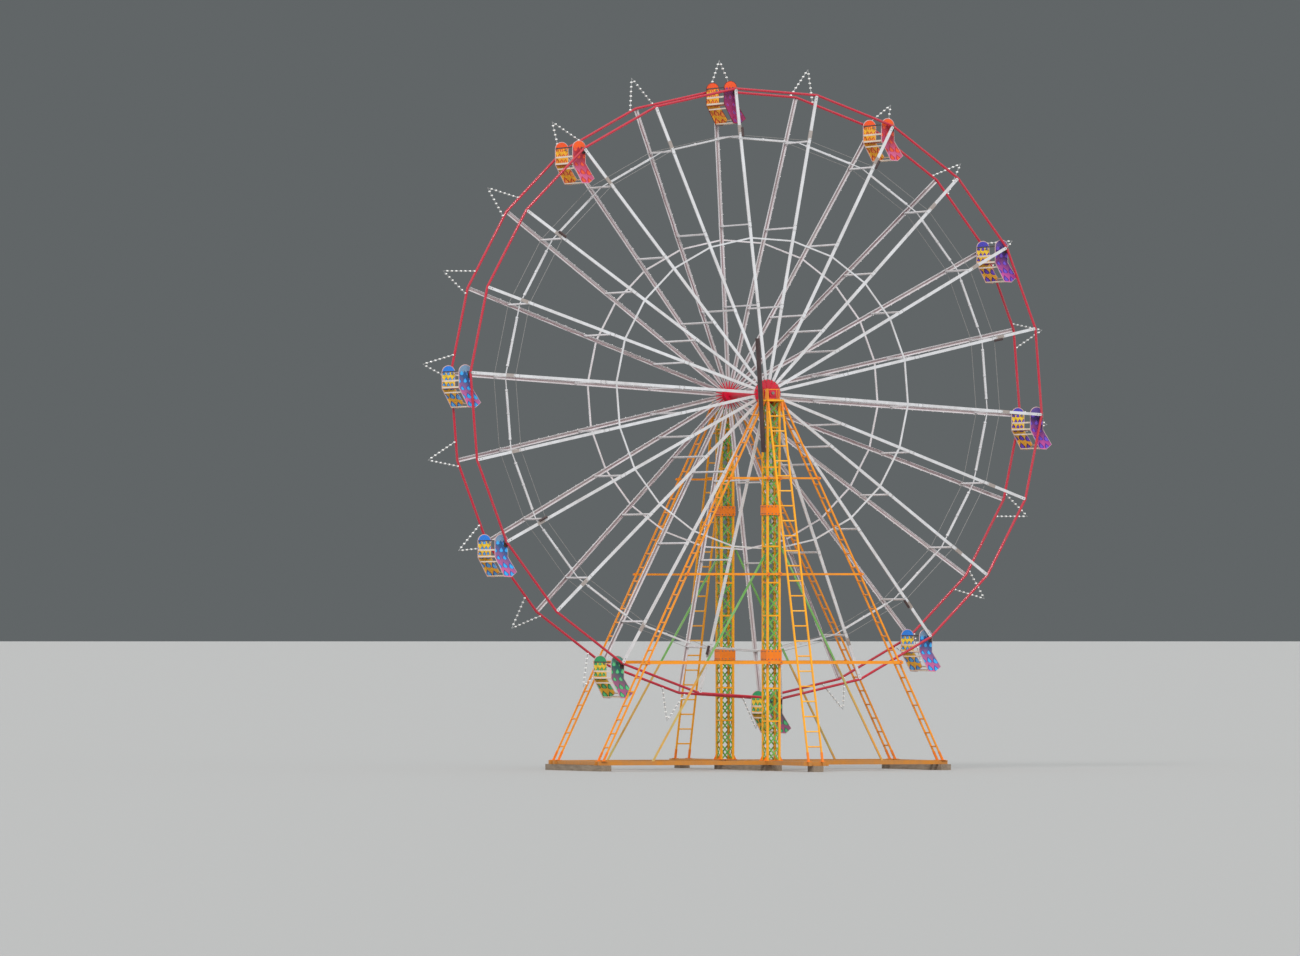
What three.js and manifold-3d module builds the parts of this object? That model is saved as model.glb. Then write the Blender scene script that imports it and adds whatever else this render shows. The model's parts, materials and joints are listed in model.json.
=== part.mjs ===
import * as THREE from "three";
import { mergeVertices } from "three/addons/utils/BufferGeometryUtils.js";
import Module from "manifold-3d";

const wasm = await Module();
wasm.setup();

// Portable Ferris wheel with ten open two-seat cabins.
// Millimetres, +Z up, the ground at z = 0, the axle along Y, the near side towards -Y.

// Wheel
const HUB_Z = 11450;
const RIM_R = 9300;
const SPOKES = 22;
const STEP = 360 / SPOKES;
const FIRST_SPOKE = 94.55;
const RIM_Y = 900;
const RIM_TUBE = 40;
const RIM_SIDES = 6;
const HUB_Y = 1650;
const NEAR_SPOKE_W = 86;
const FAR_SPOKE_W = 122;
const SPOKE_D = 50;
const SPOKE_T = 10;
const SPOKE_IN = 228;
const ROOT_GAP = 45;
const STRUTS = [0.29, 0.555, 0.845];
const STRUT_W = 45;
const RING_SHARE = 0.51;
const RING_W = 45;
const LINK_W = 28;
const LINK_SLEEVE_W = 56;
const LINK_SLEEVE = [0.15, 0.82];
const GAP = 0.3;
const PAST_Y = 3000;
const PAST_Z = 2000;

// Light stars on the far rim
const STAR_REACH = 1.1;
const STAR_LEAN = -1.2;
const STAR_HALF = 2.4;
const STAR_BAR = 28;

// Hub and axle
const DISC_R = 420;
const DISC_T = 24;
const DRUM_R = 210;
const DRUM_IN = 1420;
const BOSS_R = 110;
const BOSS_OUT = 1738;
const CORE_R = 60;
const AXLE_R = 100;
const JOURNAL_R = 45;
const AXLE_HALF = 2190;

// Cabins
const CABIN_SPOKES = [0, 2, 5, 7, 9, 11, 13, 16, 18, 20];
const PIN_R = 20;
const PIN_SIDES = 8;
const PIN_IN = 700;
const PANEL_OUT = 780;
const PANEL_T = 20;
const PANEL_LEFT = -325;
const PANEL_RIGHT = 85;
const DOME_Z = 25;
const DOME_STEPS = 6;
const PANEL_FOOT = [
  [PANEL_LEFT, -460],
  [-20, -1045],
  [200, -1055],
  [372, -910],
  [PANEL_RIGHT, -455],
];
const CABIN_BARS = {
  topRail: { x: [-322, -292], z: [18, 56] },
  backRail: { x: [-322, -287], z: [-265, -215] },
  seatRail: { x: [-322, -287], z: [-465, -415] },
  lowRail: { x: [-252, -222], z: [-612, -572] },
  seat: { x: [-290, 75], z: [-472, -448] },
  footBoard: { x: [-15, 225], z: [-1036, -1011] },
};
const HOLE_GAP = 0.4;

// Masts and their stays
const MAST_Y = 2000;
const MAST_W = 450;
const CHORD = 68;
const HEAD_Z = 11200;
const HEAD_T = 50;
const HEAD_X = 320;
const HEAD_Y = 270;
const TONGUE_X = 260;
const TONGUE_Y = [100, 370];
const BEARING_FOOT = { x: 250, y: 130, h: 45 };
const BEARING = { x: 190, y: 110, above: 135 };
const SILL_TOP = 300;
const SILL_H = 120;
const MAST_RINGS = [1500, 2500, 4700, 5700, 6800, 9200, 10400];
const RING_BAR = { h: 45, t: 30 };
const COLLAR_T = 40;
const COLLAR_OUT = 22;
const COLLARS = [
  { z: 3500, h: 340 },
  { z: 7900, h: 300 },
];
const STILE = 50;
const STILE_GAP = 450;
const RUNG = 36;
const RUNG_PITCH = 900;
const LEG_TOP_X = 300;
const LEG_FOOT_X = 5500;
const OUT_TOP_Y = 2325;
const OUT_FOOT_Y = 5775;
const TIES = [
  { name: "upper_tie", z: 8870, w: 55 },
  { name: "middle_tie", z: 5960, w: 60 },
  { name: "lower_beam", z: 3280, w: 95 },
];
const TIE_PAST = 90;
const CLEAT_IN = 20;
const BRACE_W = 55;
const BRACE_IN = 40;
const BRACES = [
  { side: "left", sign: -1, top: 6500, foot: 3820 },
  { side: "right", sign: 1, top: 6950, foot: 3600 },
];
const BASE_X = 5645;
const SILL_AT = 200;
const SILL_HALF = 60;
const ARM_AT = 225;
const ARM_HALF = 50;
const ARM_PAST = 160;
const FOOT_BAR_X = 400;
const BRACE_BAR_Y = 230;
const CROSS_HALF = 70;
const CROSS_PAST = 255;
const LEVEL = 2;
const POLE_R = 72;
const POLE_TAB = { x: -500, w: 80 };
const POLE_FOOT = { x: -374, z: 9650 };
const POLE_TOP = { x: -568, z: 13100 };
const SLEEPER_W = 320;
const SLEEPER_REACH = 2500;
const SLEEPER_SHORT = 250;

const deg = THREE.MathUtils.degToRad;
const V = (x, y, z) => new THREE.Vector3(x, y, z);

// A geometry as a solid, its faces turned outwards.
function solid(geometry) {
  geometry.deleteAttribute("normal");
  geometry.deleteAttribute("uv");
  const g = mergeVertices(geometry, 1e-3);
  const p = g.attributes.position.array;
  const t = new Uint32Array(g.index.array);
  const kept = [];
  let volume = 0;
  for (let i = 0; i < t.length; i += 3) {
    const [a, b, c] = [t[i], t[i + 1], t[i + 2]];
    if (a === b || b === c || a === c) continue;
    kept.push(a, b, c);
    const [va, vb, vc] = [a, b, c].map((k) => V(p[3 * k], p[3 * k + 1], p[3 * k + 2]));
    volume += va.dot(vb.cross(vc));
  }
  const triVerts = new Uint32Array(kept);
  if (volume < 0) triVerts.reverse();
  return new wasm.Manifold(
    new wasm.Mesh({ numProp: 3, vertProperties: new Float32Array(p), triVerts }),
  );
}

// Joins solids into one.
function fuse(solids) {
  return solids.reduce((all, one) => all.add(one));
}

// A flat section, given as [u, v] pairs, carried from point a to point b without turning.
function carry(section, a, b, u, v) {
  const n = section.length;
  const flat = section.map(([x, y]) => new THREE.Vector2(x, y));
  const faces = THREE.ShapeUtils.triangulateShape(flat, []);
  const points = [];
  for (const end of [a, b]) {
    for (const [x, y] of section) {
      points.push(end.clone().addScaledVector(u, x).addScaledVector(v, y));
    }
  }
  const index = [];
  for (const [i, j, k] of faces) {
    index.push(i, k, j, n + i, n + j, n + k);
  }
  for (let i = 0; i < n; i++) {
    const j = (i + 1) % n;
    index.push(i, j, n + j, i, n + j, n + i);
  }
  const g = new THREE.BufferGeometry().setFromPoints(points);
  g.setIndex(index);
  return solid(g);
}

// A rectangular section, w along u and h along v.
function rectangle(w, h) {
  return [
    [-w / 2, -h / 2],
    [w / 2, -h / 2],
    [w / 2, h / 2],
    [-w / 2, h / 2],
  ];
}

// A regular polygon section whose corners lie at radius r, turned by a share of a side.
function polygon(sides, r, share = 0.5) {
  return Array.from({ length: sides }, (_, i) => {
    const t = (2 * Math.PI * (i + share)) / sides;
    return [r * Math.cos(t), r * Math.sin(t)];
  });
}

// A box between two corners.
function box(x0, x1, y0, y1, z0, z1) {
  const g = new THREE.BoxGeometry(x1 - x0, y1 - y0, z1 - z0);
  g.translate((x0 + x1) / 2, (y0 + y1) / 2, (z0 + z1) / 2);
  return solid(g);
}

// A bar with square-cut ends: w across, h along the side nearest to up.
function bar(a, b, w, h, up) {
  const along = b.clone().sub(a).normalize();
  const across = along.clone().cross(up).normalize();
  return carry(rectangle(w, h), a, b, across, across.clone().cross(along));
}

// A round rod of few sides.
function rod(a, b, r, sides, share) {
  const along = b.clone().sub(a).normalize();
  const hint = Math.abs(along.y) < 0.9 ? V(0, 1, 0) : V(1, 0, 0);
  const u = along.clone().cross(hint).normalize();
  return carry(polygon(sides, r, share), a, b, u, u.clone().cross(along));
}

// A profile of [radius, y] pairs turned about the Y axis at the hub height.
function turned(profile, sides, start) {
  const points = profile.map(([r, y]) => new THREE.Vector2(r, y));
  const g = new THREE.LatheGeometry(points, sides, deg(90 - start));
  g.translate(0, 0, HUB_Z);
  return solid(g);
}

// The point of the wheel at a radius, an angle from +X towards +Z, and a depth.
function onWheel(r, angle, y) {
  return V(r * Math.cos(deg(angle)), y, HUB_Z + r * Math.sin(deg(angle)));
}

// Turns a solid made on the +X radius by an angle about the axle.
function turnedTo(made, angle) {
  return made
    .translate([0, 0, -HUB_Z])
    .rotate([0, -angle, 0])
    .translate([0, 0, HUB_Z]);
}

function spokeAngle(k) {
  return FIRST_SPOKE + STEP * k;
}

// How far from the middle plane a spoke lies at a radius.
function spokeDepth(r) {
  const share = (r - SPOKE_IN) / (RIM_R - SPOKE_IN);
  return HUB_Y + (RIM_Y - HUB_Y) * share;
}

// The wedge of one step about the +X radius, which tapers the crowded spoke roots.
function wedge() {
  const reach = 2 * RIM_R;
  const x = ROOT_GAP / (2 * Math.sin(deg(STEP / 2)));
  const h = reach * Math.tan(deg(STEP / 2));
  const section = [
    [x, 0],
    [x + reach, -h],
    [x + reach, h],
  ];
  return carry(section, V(0, -PAST_Y, HUB_Z), V(0, PAST_Y, HUB_Z), V(1, 0, 0), V(0, 0, 1));
}

function spokeWidth(side) {
  return side < 0 ? NEAR_SPOKE_W : FAR_SPOKE_W;
}

// A channel spoke on the +X radius, its web outboard; side is -1 for the near one.
function spoke(side) {
  const w = spokeWidth(side) / 2;
  const end = RIM_R - RIM_TUBE / Math.cos(deg(STEP / 2));
  const outer = end - w * Math.tan(deg(STEP / 2)) - GAP;
  const d = SPOKE_D / 2;
  const section = [
    [-w, -d],
    [-w + SPOKE_T, -d],
    [-w + SPOKE_T, d - SPOKE_T],
    [w - SPOKE_T, d - SPOKE_T],
    [w - SPOKE_T, -d],
    [w, -d],
    [w, d],
    [-w, d],
  ];
  const a = V(SPOKE_IN, side * HUB_Y, HUB_Z);
  const b = V(outer, side * spokeDepth(outer), HUB_Z);
  return carry(section, a, b, V(0, 0, 1), V(0, side, 0)).intersect(wedge());
}

// Both spokes at one angle and the three struts between them.
function spokeFrame() {
  const parts = [spoke(-1), spoke(1)];
  for (const share of STRUTS) {
    const r = share * RIM_R;
    const y = spokeDepth(r) + SPOKE_D / 2 - SPOKE_T / 2;
    const h = STRUT_W / 2;
    parts.push(box(r - h, r + h, -y, y, HUB_Z - h, HUB_Z + h));
  }
  return fuse(parts);
}

// The near and far ring bars from a spoke frame to the frame one step clockwise of it.
// They are let into this frame's channel and stop at a depth under the next one's face.
function ringBars(depth) {
  const r = RING_SHARE * RIM_R;
  const bars = [-1, 1].map((side) => {
    const w = spokeWidth(side) / 2;
    const y = side * spokeDepth(r);
    const made = bar(onWheel(r, 0, y), onWheel(r, -STEP, y), RING_W, SPOKE_D - 4, V(0, 1, 0));
    const own = box(0, RIM_R, -PAST_Y, PAST_Y, HUB_Z - w + SPOKE_T / 2, HUB_Z + PAST_Z);
    const next = box(0, RIM_R, -PAST_Y, PAST_Y, HUB_Z - PAST_Z, HUB_Z + w - depth);
    return made.subtract(own).subtract(turnedTo(next, -STEP));
  });
  return fuse(bars);
}

// The sleeved bar between the middles of two neighbouring frames' outer struts.
// It stops at a depth under the side face of the next frame's strut.
function middleLink(depth) {
  const r = STRUTS[2] * RIM_R;
  const a = onWheel(r, 0, 0);
  const b = onWheel(r, -STEP, 0);
  const up = V(0, 1, 0);
  const [from, to] = LINK_SLEEVE.map((share) => a.clone().lerp(b, share));
  const made = bar(a, b, LINK_W, LINK_W, up).add(bar(from, to, LINK_SLEEVE_W, LINK_SLEEVE_W, up));
  const face = HUB_Z + STRUT_W / 2 - depth;
  const next = box(0, RIM_R, -PAST_Y, PAST_Y, HUB_Z - PAST_Z, face);
  return made.subtract(turnedTo(next, -STEP));
}

// Two neighbouring spoke frames with their links, short of the bay before.
function spokeBay() {
  const into = SPOKE_T / 2;
  return fuse([
    spokeFrame(),
    turnedTo(spokeFrame(), STEP),
    ringBars(-GAP),
    middleLink(-GAP),
    turnedTo(ringBars(into), STEP),
    turnedTo(middleLink(into), STEP),
  ]);
}

// A rim of straight tubes with the inward pins that carry the cabins.
function rim(side) {
  const corner = 1 / Math.cos(deg(STEP / 2));
  const tube = RIM_TUBE / Math.cos(Math.PI / RIM_SIDES);
  const ring = polygon(RIM_SIDES, tube).map(([u, v]) => [
    RIM_R + u * corner,
    side * RIM_Y + v,
  ]);
  const parts = [turned([...ring, ring[0]], SPOKES, FIRST_SPOKE)];
  for (const k of CABIN_SPOKES) {
    const angle = spokeAngle(k);
    const from = onWheel(RIM_R, angle, side * (RIM_Y - 10));
    const to = onWheel(RIM_R, angle, side * PIN_IN);
    parts.push(rod(from, to, PIN_R, PIN_SIDES));
  }
  return fuse(parts);
}

// Radius of the rim's centre line at an angle away from its corner.
function rimLine(offset) {
  const half = STEP / 2;
  return (RIM_R * Math.cos(deg(half))) / Math.cos(deg(half - Math.abs(offset)));
}

// A pointed light frame standing on the far rim at spoke k.
function star(k) {
  const middle = spokeAngle(k) + STAR_LEAN;
  const apex = onWheel(STAR_REACH * RIM_R, middle, RIM_Y);
  return [-STAR_HALF, STAR_HALF].map((turn) => {
    const r = rimLine(STAR_LEAN + turn);
    const foot = onWheel(r, middle + turn, RIM_Y);
    const tip = apex.clone().lerp(foot, turn < 0 ? 0 : 0.012);
    return bar(foot, tip, STAR_BAR, STAR_BAR, V(0, 1, 0));
  });
}

function farRim() {
  const stars = Array.from({ length: SPOKES }, (_, k) => star(k));
  return fuse([rim(1), ...stars.flat()]);
}

// A hub: disc outboard of the spoke roots, drum inboard, boss towards the bearing.
function hub(side) {
  const face = HUB_Y + SPOKE_D / 2 + GAP;
  const bore = CORE_R + GAP;
  const profile = [
    [bore, DRUM_IN],
    [DRUM_R, DRUM_IN],
    [DRUM_R, face],
    [DISC_R, face],
    [DISC_R, face + DISC_T],
    [BOSS_R, face + DISC_T],
    [BOSS_R, BOSS_OUT],
    [bore, BOSS_OUT],
    [bore, DRUM_IN],
  ];
  return turned(
    profile.map(([r, y]) => [r, side * y]),
    24,
    0,
  );
}

// The shaft through both hubs, with a journal at each end.
function axle() {
  const wide = DRUM_IN - GAP;
  const core = BOSS_OUT + 4;
  return turned(
    [
      [0, -AXLE_HALF],
      [JOURNAL_R, -AXLE_HALF],
      [JOURNAL_R, -core],
      [CORE_R, -core],
      [CORE_R, -wide],
      [AXLE_R, -wide],
      [AXLE_R, wide],
      [CORE_R, wide],
      [CORE_R, core],
      [JOURNAL_R, core],
      [JOURNAL_R, AXLE_HALF],
      [0, AXLE_HALF],
    ],
    24,
    0,
  );
}

// Outline of a cabin side in x and z from its pivot: a domed top and a slanting foot.
function panelOutline() {
  const r = (PANEL_RIGHT - PANEL_LEFT) / 2;
  const mid = (PANEL_RIGHT + PANEL_LEFT) / 2;
  const dome = [];
  for (let i = 0; i <= DOME_STEPS; i++) {
    const t = (Math.PI * i) / DOME_STEPS;
    dome.push([mid + r * Math.cos(t), DOME_Z + r * Math.sin(t)]);
  }
  return [...dome, ...PANEL_FOOT];
}

// A cabin about its pivot: two sides, four back rails, seat and foot board.
function cabinAtPivot() {
  const side = (s) => {
    const a = V(0, s * (PANEL_OUT - PANEL_T), 0);
    const b = V(0, s * PANEL_OUT, 0);
    return carry(panelOutline(), a, b, V(1, 0, 0), V(0, 0, 1));
  };
  const y = PANEL_OUT - PANEL_T / 2;
  const bars = Object.values(CABIN_BARS).map(({ x, z }) => box(...x, -y, y, ...z));
  const holeR = (PIN_R + HOLE_GAP) / Math.cos(Math.PI / PIN_SIDES);
  const hole = rod(V(0, -RIM_Y, 0), V(0, RIM_Y, 0), holeR, PIN_SIDES, 0);
  return fuse([side(-1), side(1), ...bars]).subtract(hole);
}

function cabin(k) {
  const p = onWheel(RIM_R, spokeAngle(k), 0);
  return cabinAtPivot().translate([p.x, p.y, p.z]);
}

// Four flat bars round the mast at one height.
function mastRing(y0, z, h, t) {
  const w = MAST_W / 2 - 4;
  const outer = box(-w, w, y0 - w, y0 + w, z - h / 2, z + h / 2);
  const i = w - t;
  return outer.subtract(box(-i, i, y0 - i, y0 + i, z - h, z + h));
}

// A square mast: four chords, rings, splice collars and the plate that carries the bearing.
function mast(side) {
  const y0 = side * MAST_Y;
  const c = (MAST_W - CHORD) / 2;
  const h = CHORD / 2;
  const foot = SILL_TOP + GAP;
  const parts = [];
  for (const sx of [-1, 1]) {
    for (const sy of [-1, 1]) {
      const x = sx * c;
      const y = y0 + sy * c;
      parts.push(box(x - h, x + h, y - h, y + h, foot, HEAD_Z + 5));
    }
  }
  for (const z of MAST_RINGS) parts.push(mastRing(y0, z, RING_BAR.h, RING_BAR.t));
  for (const { z, h: tall } of COLLARS) {
    const w = MAST_W / 2 + COLLAR_OUT;
    const outer = box(-w, w, y0 - w, y0 + w, z - tall / 2, z + tall / 2);
    const i = w - COLLAR_T;
    parts.push(outer.subtract(box(-i, i, y0 - i, y0 + i, z - tall, z + tall)));
  }
  const top = HEAD_Z + GAP;
  const tongue = TONGUE_Y.map((y) => side * (MAST_Y + y));
  parts.push(box(-HEAD_X, HEAD_X, y0 - HEAD_Y, y0 + HEAD_Y, top, HEAD_Z + HEAD_T));
  parts.push(
    box(
      -TONGUE_X,
      TONGUE_X,
      Math.min(...tongue),
      Math.max(...tongue),
      top,
      HEAD_Z + HEAD_T,
    ),
  );
  if (side < 0) {
    const y = y0 - HEAD_Y;
    parts.push(box(POLE_TAB.x, 0, y, y + POLE_TAB.w, top, HEAD_Z + HEAD_T));
  }
  return fuse([...parts, ...tieCleats(side)]);
}

// Blocks on the mast's outer face that the ties bear on.
function tieCleats(side) {
  const face = side * (MAST_Y + MAST_W / 2 - CLEAT_IN);
  const out = side * (MAST_Y + STILE_GAP / 2 + STILE / 2);
  return TIES.map(({ z, w }) =>
    box(
      -MAST_W / 2,
      MAST_W / 2,
      Math.min(face, out),
      Math.max(face, out),
      z - w / 2,
      z + w / 2,
    ),
  );
}

// A ladder between two levels: stiles spread along one axis, leaning along the other.
function ladder({ top, foot, spread }) {
  const lean = top.clone().sub(foot);
  const stretch = lean.length() / lean.z;
  const other = spread.x ? V(0, 1, 0) : V(1, 0, 0);
  const parts = [];
  for (const s of [-1, 1]) {
    const shift = spread.clone().multiplyScalar((s * STILE_GAP) / 2);
    const section = rectangle(STILE, STILE * stretch);
    parts.push(
      carry(section, foot.clone().add(shift), top.clone().add(shift), spread, other),
    );
  }
  const count = Math.floor(lean.length() / RUNG_PITCH);
  for (let i = 1; i <= count; i++) {
    const at = foot.clone().addScaledVector(lean, (i - 0.5) / count);
    const half = spread.clone().multiplyScalar(STILE_GAP / 2);
    parts.push(bar(at.clone().sub(half), at.clone().add(half), RUNG, RUNG, lean));
  }
  return fuse(parts);
}

function leg(side, sign) {
  return ladder({
    top: V(sign * LEG_TOP_X, side * MAST_Y, HEAD_Z),
    foot: V(sign * LEG_FOOT_X, side * MAST_Y, SILL_TOP + GAP),
    spread: V(0, 1, 0),
  });
}

function outrigger(side) {
  return ladder({
    top: V(0, side * OUT_TOP_Y, HEAD_Z),
    foot: V(0, side * OUT_FOOT_Y, SILL_TOP + GAP),
    spread: V(1, 0, 0),
  });
}

// A level bar clamped across both legs and the mast.
function tie(side, { z, w }) {
  const y = side * (MAST_Y + STILE_GAP / 2 + STILE / 2 + GAP + w / 2);
  const slope = (LEG_FOOT_X - LEG_TOP_X) / (HEAD_Z - SILL_TOP);
  const x = LEG_TOP_X + (HEAD_Z - z) * slope + TIE_PAST;
  return box(-x, x, y - w / 2, y + w / 2, z - w / 2, z + w / 2);
}

// A slanting brace from the mast's side face to the base.
function brace(side, { sign, top, foot }) {
  const y = side * MAST_Y;
  const low = SILL_TOP + GAP;
  const run = foot - MAST_W / 2;
  const stretch = Math.hypot(run, top - low) / (top - low);
  const a = V(sign * foot, y, low);
  const b = V(sign * (MAST_W / 2 - BRACE_IN), y, top + ((top - low) / run) * BRACE_IN);
  const made = carry(rectangle(BRACE_W * stretch, BRACE_W), a, b, V(1, 0, 0), V(0, 1, 0));
  const edge = sign * (MAST_W / 2 + GAP);
  const inside = box(
    Math.min(0, edge),
    Math.max(0, edge),
    y - MAST_W / 2,
    y + MAST_W / 2,
    0,
    HUB_Z,
  );
  return made.subtract(inside);
}

// Sills under both frames, tied across, with arms out to the outrigger feet.
function baseFrame() {
  const z0 = SILL_TOP - SILL_H;
  const parts = [];
  for (const side of [-1, 1]) {
    for (const at of [MAST_Y - SILL_AT, MAST_Y + SILL_AT]) {
      const y = side * at;
      parts.push(box(-BASE_X, BASE_X, y - SILL_HALF, y + SILL_HALF, z0, SILL_TOP));
    }
    const arm = [side * (MAST_Y + SILL_AT), side * (OUT_FOOT_Y + ARM_PAST)];
    const [y0, y1] = [Math.min(...arm), Math.max(...arm)];
    for (const x of [-ARM_AT, ARM_AT]) {
      parts.push(box(x - ARM_HALF, x + ARM_HALF, y0, y1, z0, SILL_TOP));
    }
    const foot = [side * OUT_FOOT_Y - SILL_HALF, side * OUT_FOOT_Y + SILL_HALF];
    parts.push(box(-FOOT_BAR_X, FOOT_BAR_X, ...foot, z0, SILL_TOP - LEVEL));
    for (const { sign, foot: x } of BRACES) {
      const at = sign * x;
      const y = side * MAST_Y;
      const across = [y - BRACE_BAR_Y, y + BRACE_BAR_Y];
      parts.push(box(at - SILL_HALF, at + SILL_HALF, ...across, z0 + LEVEL, SILL_TOP));
    }
  }
  const reach = MAST_Y + CROSS_PAST;
  for (const x of [-LEG_FOOT_X, 0, LEG_FOOT_X]) {
    const across = [x - CROSS_HALF, x + CROSS_HALF];
    parts.push(box(...across, -reach, reach, z0 + 2 * LEVEL, SILL_TOP - 2 * LEVEL));
  }
  return fuse(parts);
}

// A timber under the base.
function sleeper(x, y0, y1) {
  const w = SLEEPER_W / 2;
  return box(x - w, x + w, y0, y1, 0, SILL_TOP - SILL_H - GAP);
}

// A block round the journal, standing on the mast's plate.
function bearing(side) {
  const y = side * MAST_Y;
  const low = HEAD_Z + HEAD_T + GAP;
  const standing = (x, half, z0, z1) => box(-x, x, y - half, y + half, z0, z1);
  const block = fuse([
    standing(BEARING_FOOT.x, BEARING_FOOT.y, low, low + BEARING_FOOT.h),
    standing(BEARING.x, BEARING.y, low, HUB_Z + BEARING.above),
  ]);
  const hole = rod(V(0, y - 400, HUB_Z), V(0, y + 400, HUB_Z), JOURNAL_R * 1.03, 24);
  return block.subtract(hole);
}

// The dark erecting pole strapped to the near mast's left side.
function erectingPole() {
  const y = -(MAST_Y + HEAD_Y + GAP + POLE_R * Math.cos(Math.PI / 8));
  const a = V(POLE_FOOT.x, y, POLE_FOOT.z);
  const b = V(POLE_TOP.x, y, POLE_TOP.z);
  return carry(polygon(8, POLE_R), a, b, V(1, 0, 0), V(0, 1, 0));
}

// Colours
const RED = { color: 0xb51a2c, roughness: 0.45, metalness: 0.2 };
const WHITE = { color: 0xc8bfbb, roughness: 0.6, metalness: 0.2 };
const ORANGE = { color: 0xe2741c, roughness: 0.5, metalness: 0.2 };
const YELLOW = { color: 0xe8a01c, roughness: 0.5, metalness: 0.2 };
const GREEN = { color: 0x5fb74c, roughness: 0.5, metalness: 0.2 };
const STEEL = { color: 0x8a8d90, roughness: 0.35, metalness: 0.8 };
const BROWN = { color: 0x4a3832, roughness: 0.7, metalness: 0.1 };
const TIMBER = { color: 0x7a5f45, roughness: 0.9, metalness: 0 };
const CABIN_COLOURS = [
  0xe2562a, 0xe2562a, 0x3f6fd0, 0x3f6fd0, 0x3da35c, 0x3da35c, 0x3f6fd0, 0x7a58c8,
  0x7a58c8, 0xe2562a,
];

const wheel = new THREE.Group();

function put(name, made, look) {
  const m = made.getMesh();
  const g = new THREE.BufferGeometry();
  g.setAttribute("position", new THREE.BufferAttribute(m.vertProperties, 3));
  g.setIndex(new THREE.BufferAttribute(m.triVerts, 1));
  g.computeVertexNormals();
  const mesh = new THREE.Mesh(g, new THREE.MeshStandardMaterial(look));
  mesh.name = name;
  wheel.add(mesh);
}

const two = (n) => String(n).padStart(2, "0");

const bay = spokeBay();
for (let i = 0; i < SPOKES / 2; i++) {
  put(`spoke_bay_${two(i + 1)}`, turnedTo(bay, spokeAngle(2 * i)), WHITE);
}
put("near_rim", rim(-1), RED);
put("far_rim", farRim(), RED);
put("near_hub", hub(-1), RED);
put("far_hub", hub(1), RED);
put("axle", axle(), RED);
CABIN_SPOKES.forEach((k, i) => {
  put(`cabin_${two(i + 1)}`, cabin(k), {
    color: CABIN_COLOURS[i],
    roughness: 0.5,
    metalness: 0.1,
  });
});
for (const [name, side] of [
  ["near", -1],
  ["far", 1],
]) {
  put(`${name}_mast`, mast(side), YELLOW);
  put(`${name}_bearing`, bearing(side), STEEL);
  put(`${name}_left_leg`, leg(side, -1), ORANGE);
  put(`${name}_right_leg`, leg(side, 1), ORANGE);
  put(`${name}_outrigger`, outrigger(side), YELLOW);
  for (const each of TIES) put(`${name}_${each.name}`, tie(side, each), ORANGE);
  for (const each of BRACES) put(`${name}_${each.side}_brace`, brace(side, each), GREEN);
}
put("erecting_pole", erectingPole(), BROWN);
put("base_frame", baseFrame(), YELLOW);
for (const [name, x, y, half] of [
  ["left", -LEG_FOOT_X, 0, SLEEPER_REACH],
  ["middle", 0, 0, SLEEPER_REACH],
  ["right", LEG_FOOT_X, 0, SLEEPER_REACH],
  ["near", 0, -OUT_FOOT_Y, SLEEPER_SHORT],
  ["far", 0, OUT_FOOT_Y, SLEEPER_SHORT],
]) {
  put(`${name}_sleeper`, sleeper(x, y - half, y + half), TIMBER);
}

export default wheel;
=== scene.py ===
"""Dresses a portable Ferris wheel: painted steel, lacing, rungs, lamps, cables and cabins."""

import json
import logging
import math
from dataclasses import dataclass, field
from enum import Enum
from functools import cache
from typing import Iterable, Sequence

import bpy
from mathutils import Matrix, Vector

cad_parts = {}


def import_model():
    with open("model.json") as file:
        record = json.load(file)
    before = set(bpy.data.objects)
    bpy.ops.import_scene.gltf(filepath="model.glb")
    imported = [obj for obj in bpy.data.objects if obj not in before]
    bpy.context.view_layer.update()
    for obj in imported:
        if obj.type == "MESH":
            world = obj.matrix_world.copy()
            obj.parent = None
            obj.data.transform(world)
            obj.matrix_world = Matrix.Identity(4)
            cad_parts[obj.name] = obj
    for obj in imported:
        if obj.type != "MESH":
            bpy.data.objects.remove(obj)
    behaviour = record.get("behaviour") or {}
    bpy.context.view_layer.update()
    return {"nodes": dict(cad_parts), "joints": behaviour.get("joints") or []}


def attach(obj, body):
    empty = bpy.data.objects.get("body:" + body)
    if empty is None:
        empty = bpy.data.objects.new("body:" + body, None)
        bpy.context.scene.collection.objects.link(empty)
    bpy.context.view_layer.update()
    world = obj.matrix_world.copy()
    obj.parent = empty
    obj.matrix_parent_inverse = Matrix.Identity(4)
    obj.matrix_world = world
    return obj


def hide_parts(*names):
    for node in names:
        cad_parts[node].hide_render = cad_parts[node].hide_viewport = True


LOG = logging.getLogger("ferris_wheel")

Colour = tuple[float, float, float]
Point = Sequence[float]
Section = list[tuple[float, float]]
Faces = list[tuple[int, ...]]
Range = tuple[float, float]
Socket = bpy.types.NodeSocket
Sockets = bpy.types.bpy_prop_collection

IMAGE_WIDTH = 1300
SMOOTH_ANGLE = 35.0
X, Y, Z = (1, 0, 0), (0, 1, 0), (0, 0, 1)


# Driving sizes -----------------------------------------------------------------------


class Side(Enum):
    """The two supports and rims, by the sign of their y."""

    NEAR = -1
    FAR = 1

    @property
    def prefix(self) -> str:
        """The side's name in the CAD nodes."""
        return self.name.lower()


class Scheme(Enum):
    """The paint schemes of the cabins."""

    ORANGE = "orange"
    ROSE = "rose"
    BLUE = "blue"
    GREEN = "green"
    VIOLET = "violet"

    @property
    def slot(self) -> str:
        """The record's material slot; the rose cabins share the orange one."""
        return f"cabin_{Scheme.ORANGE.value if self is Scheme.ROSE else self.value}"


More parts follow.
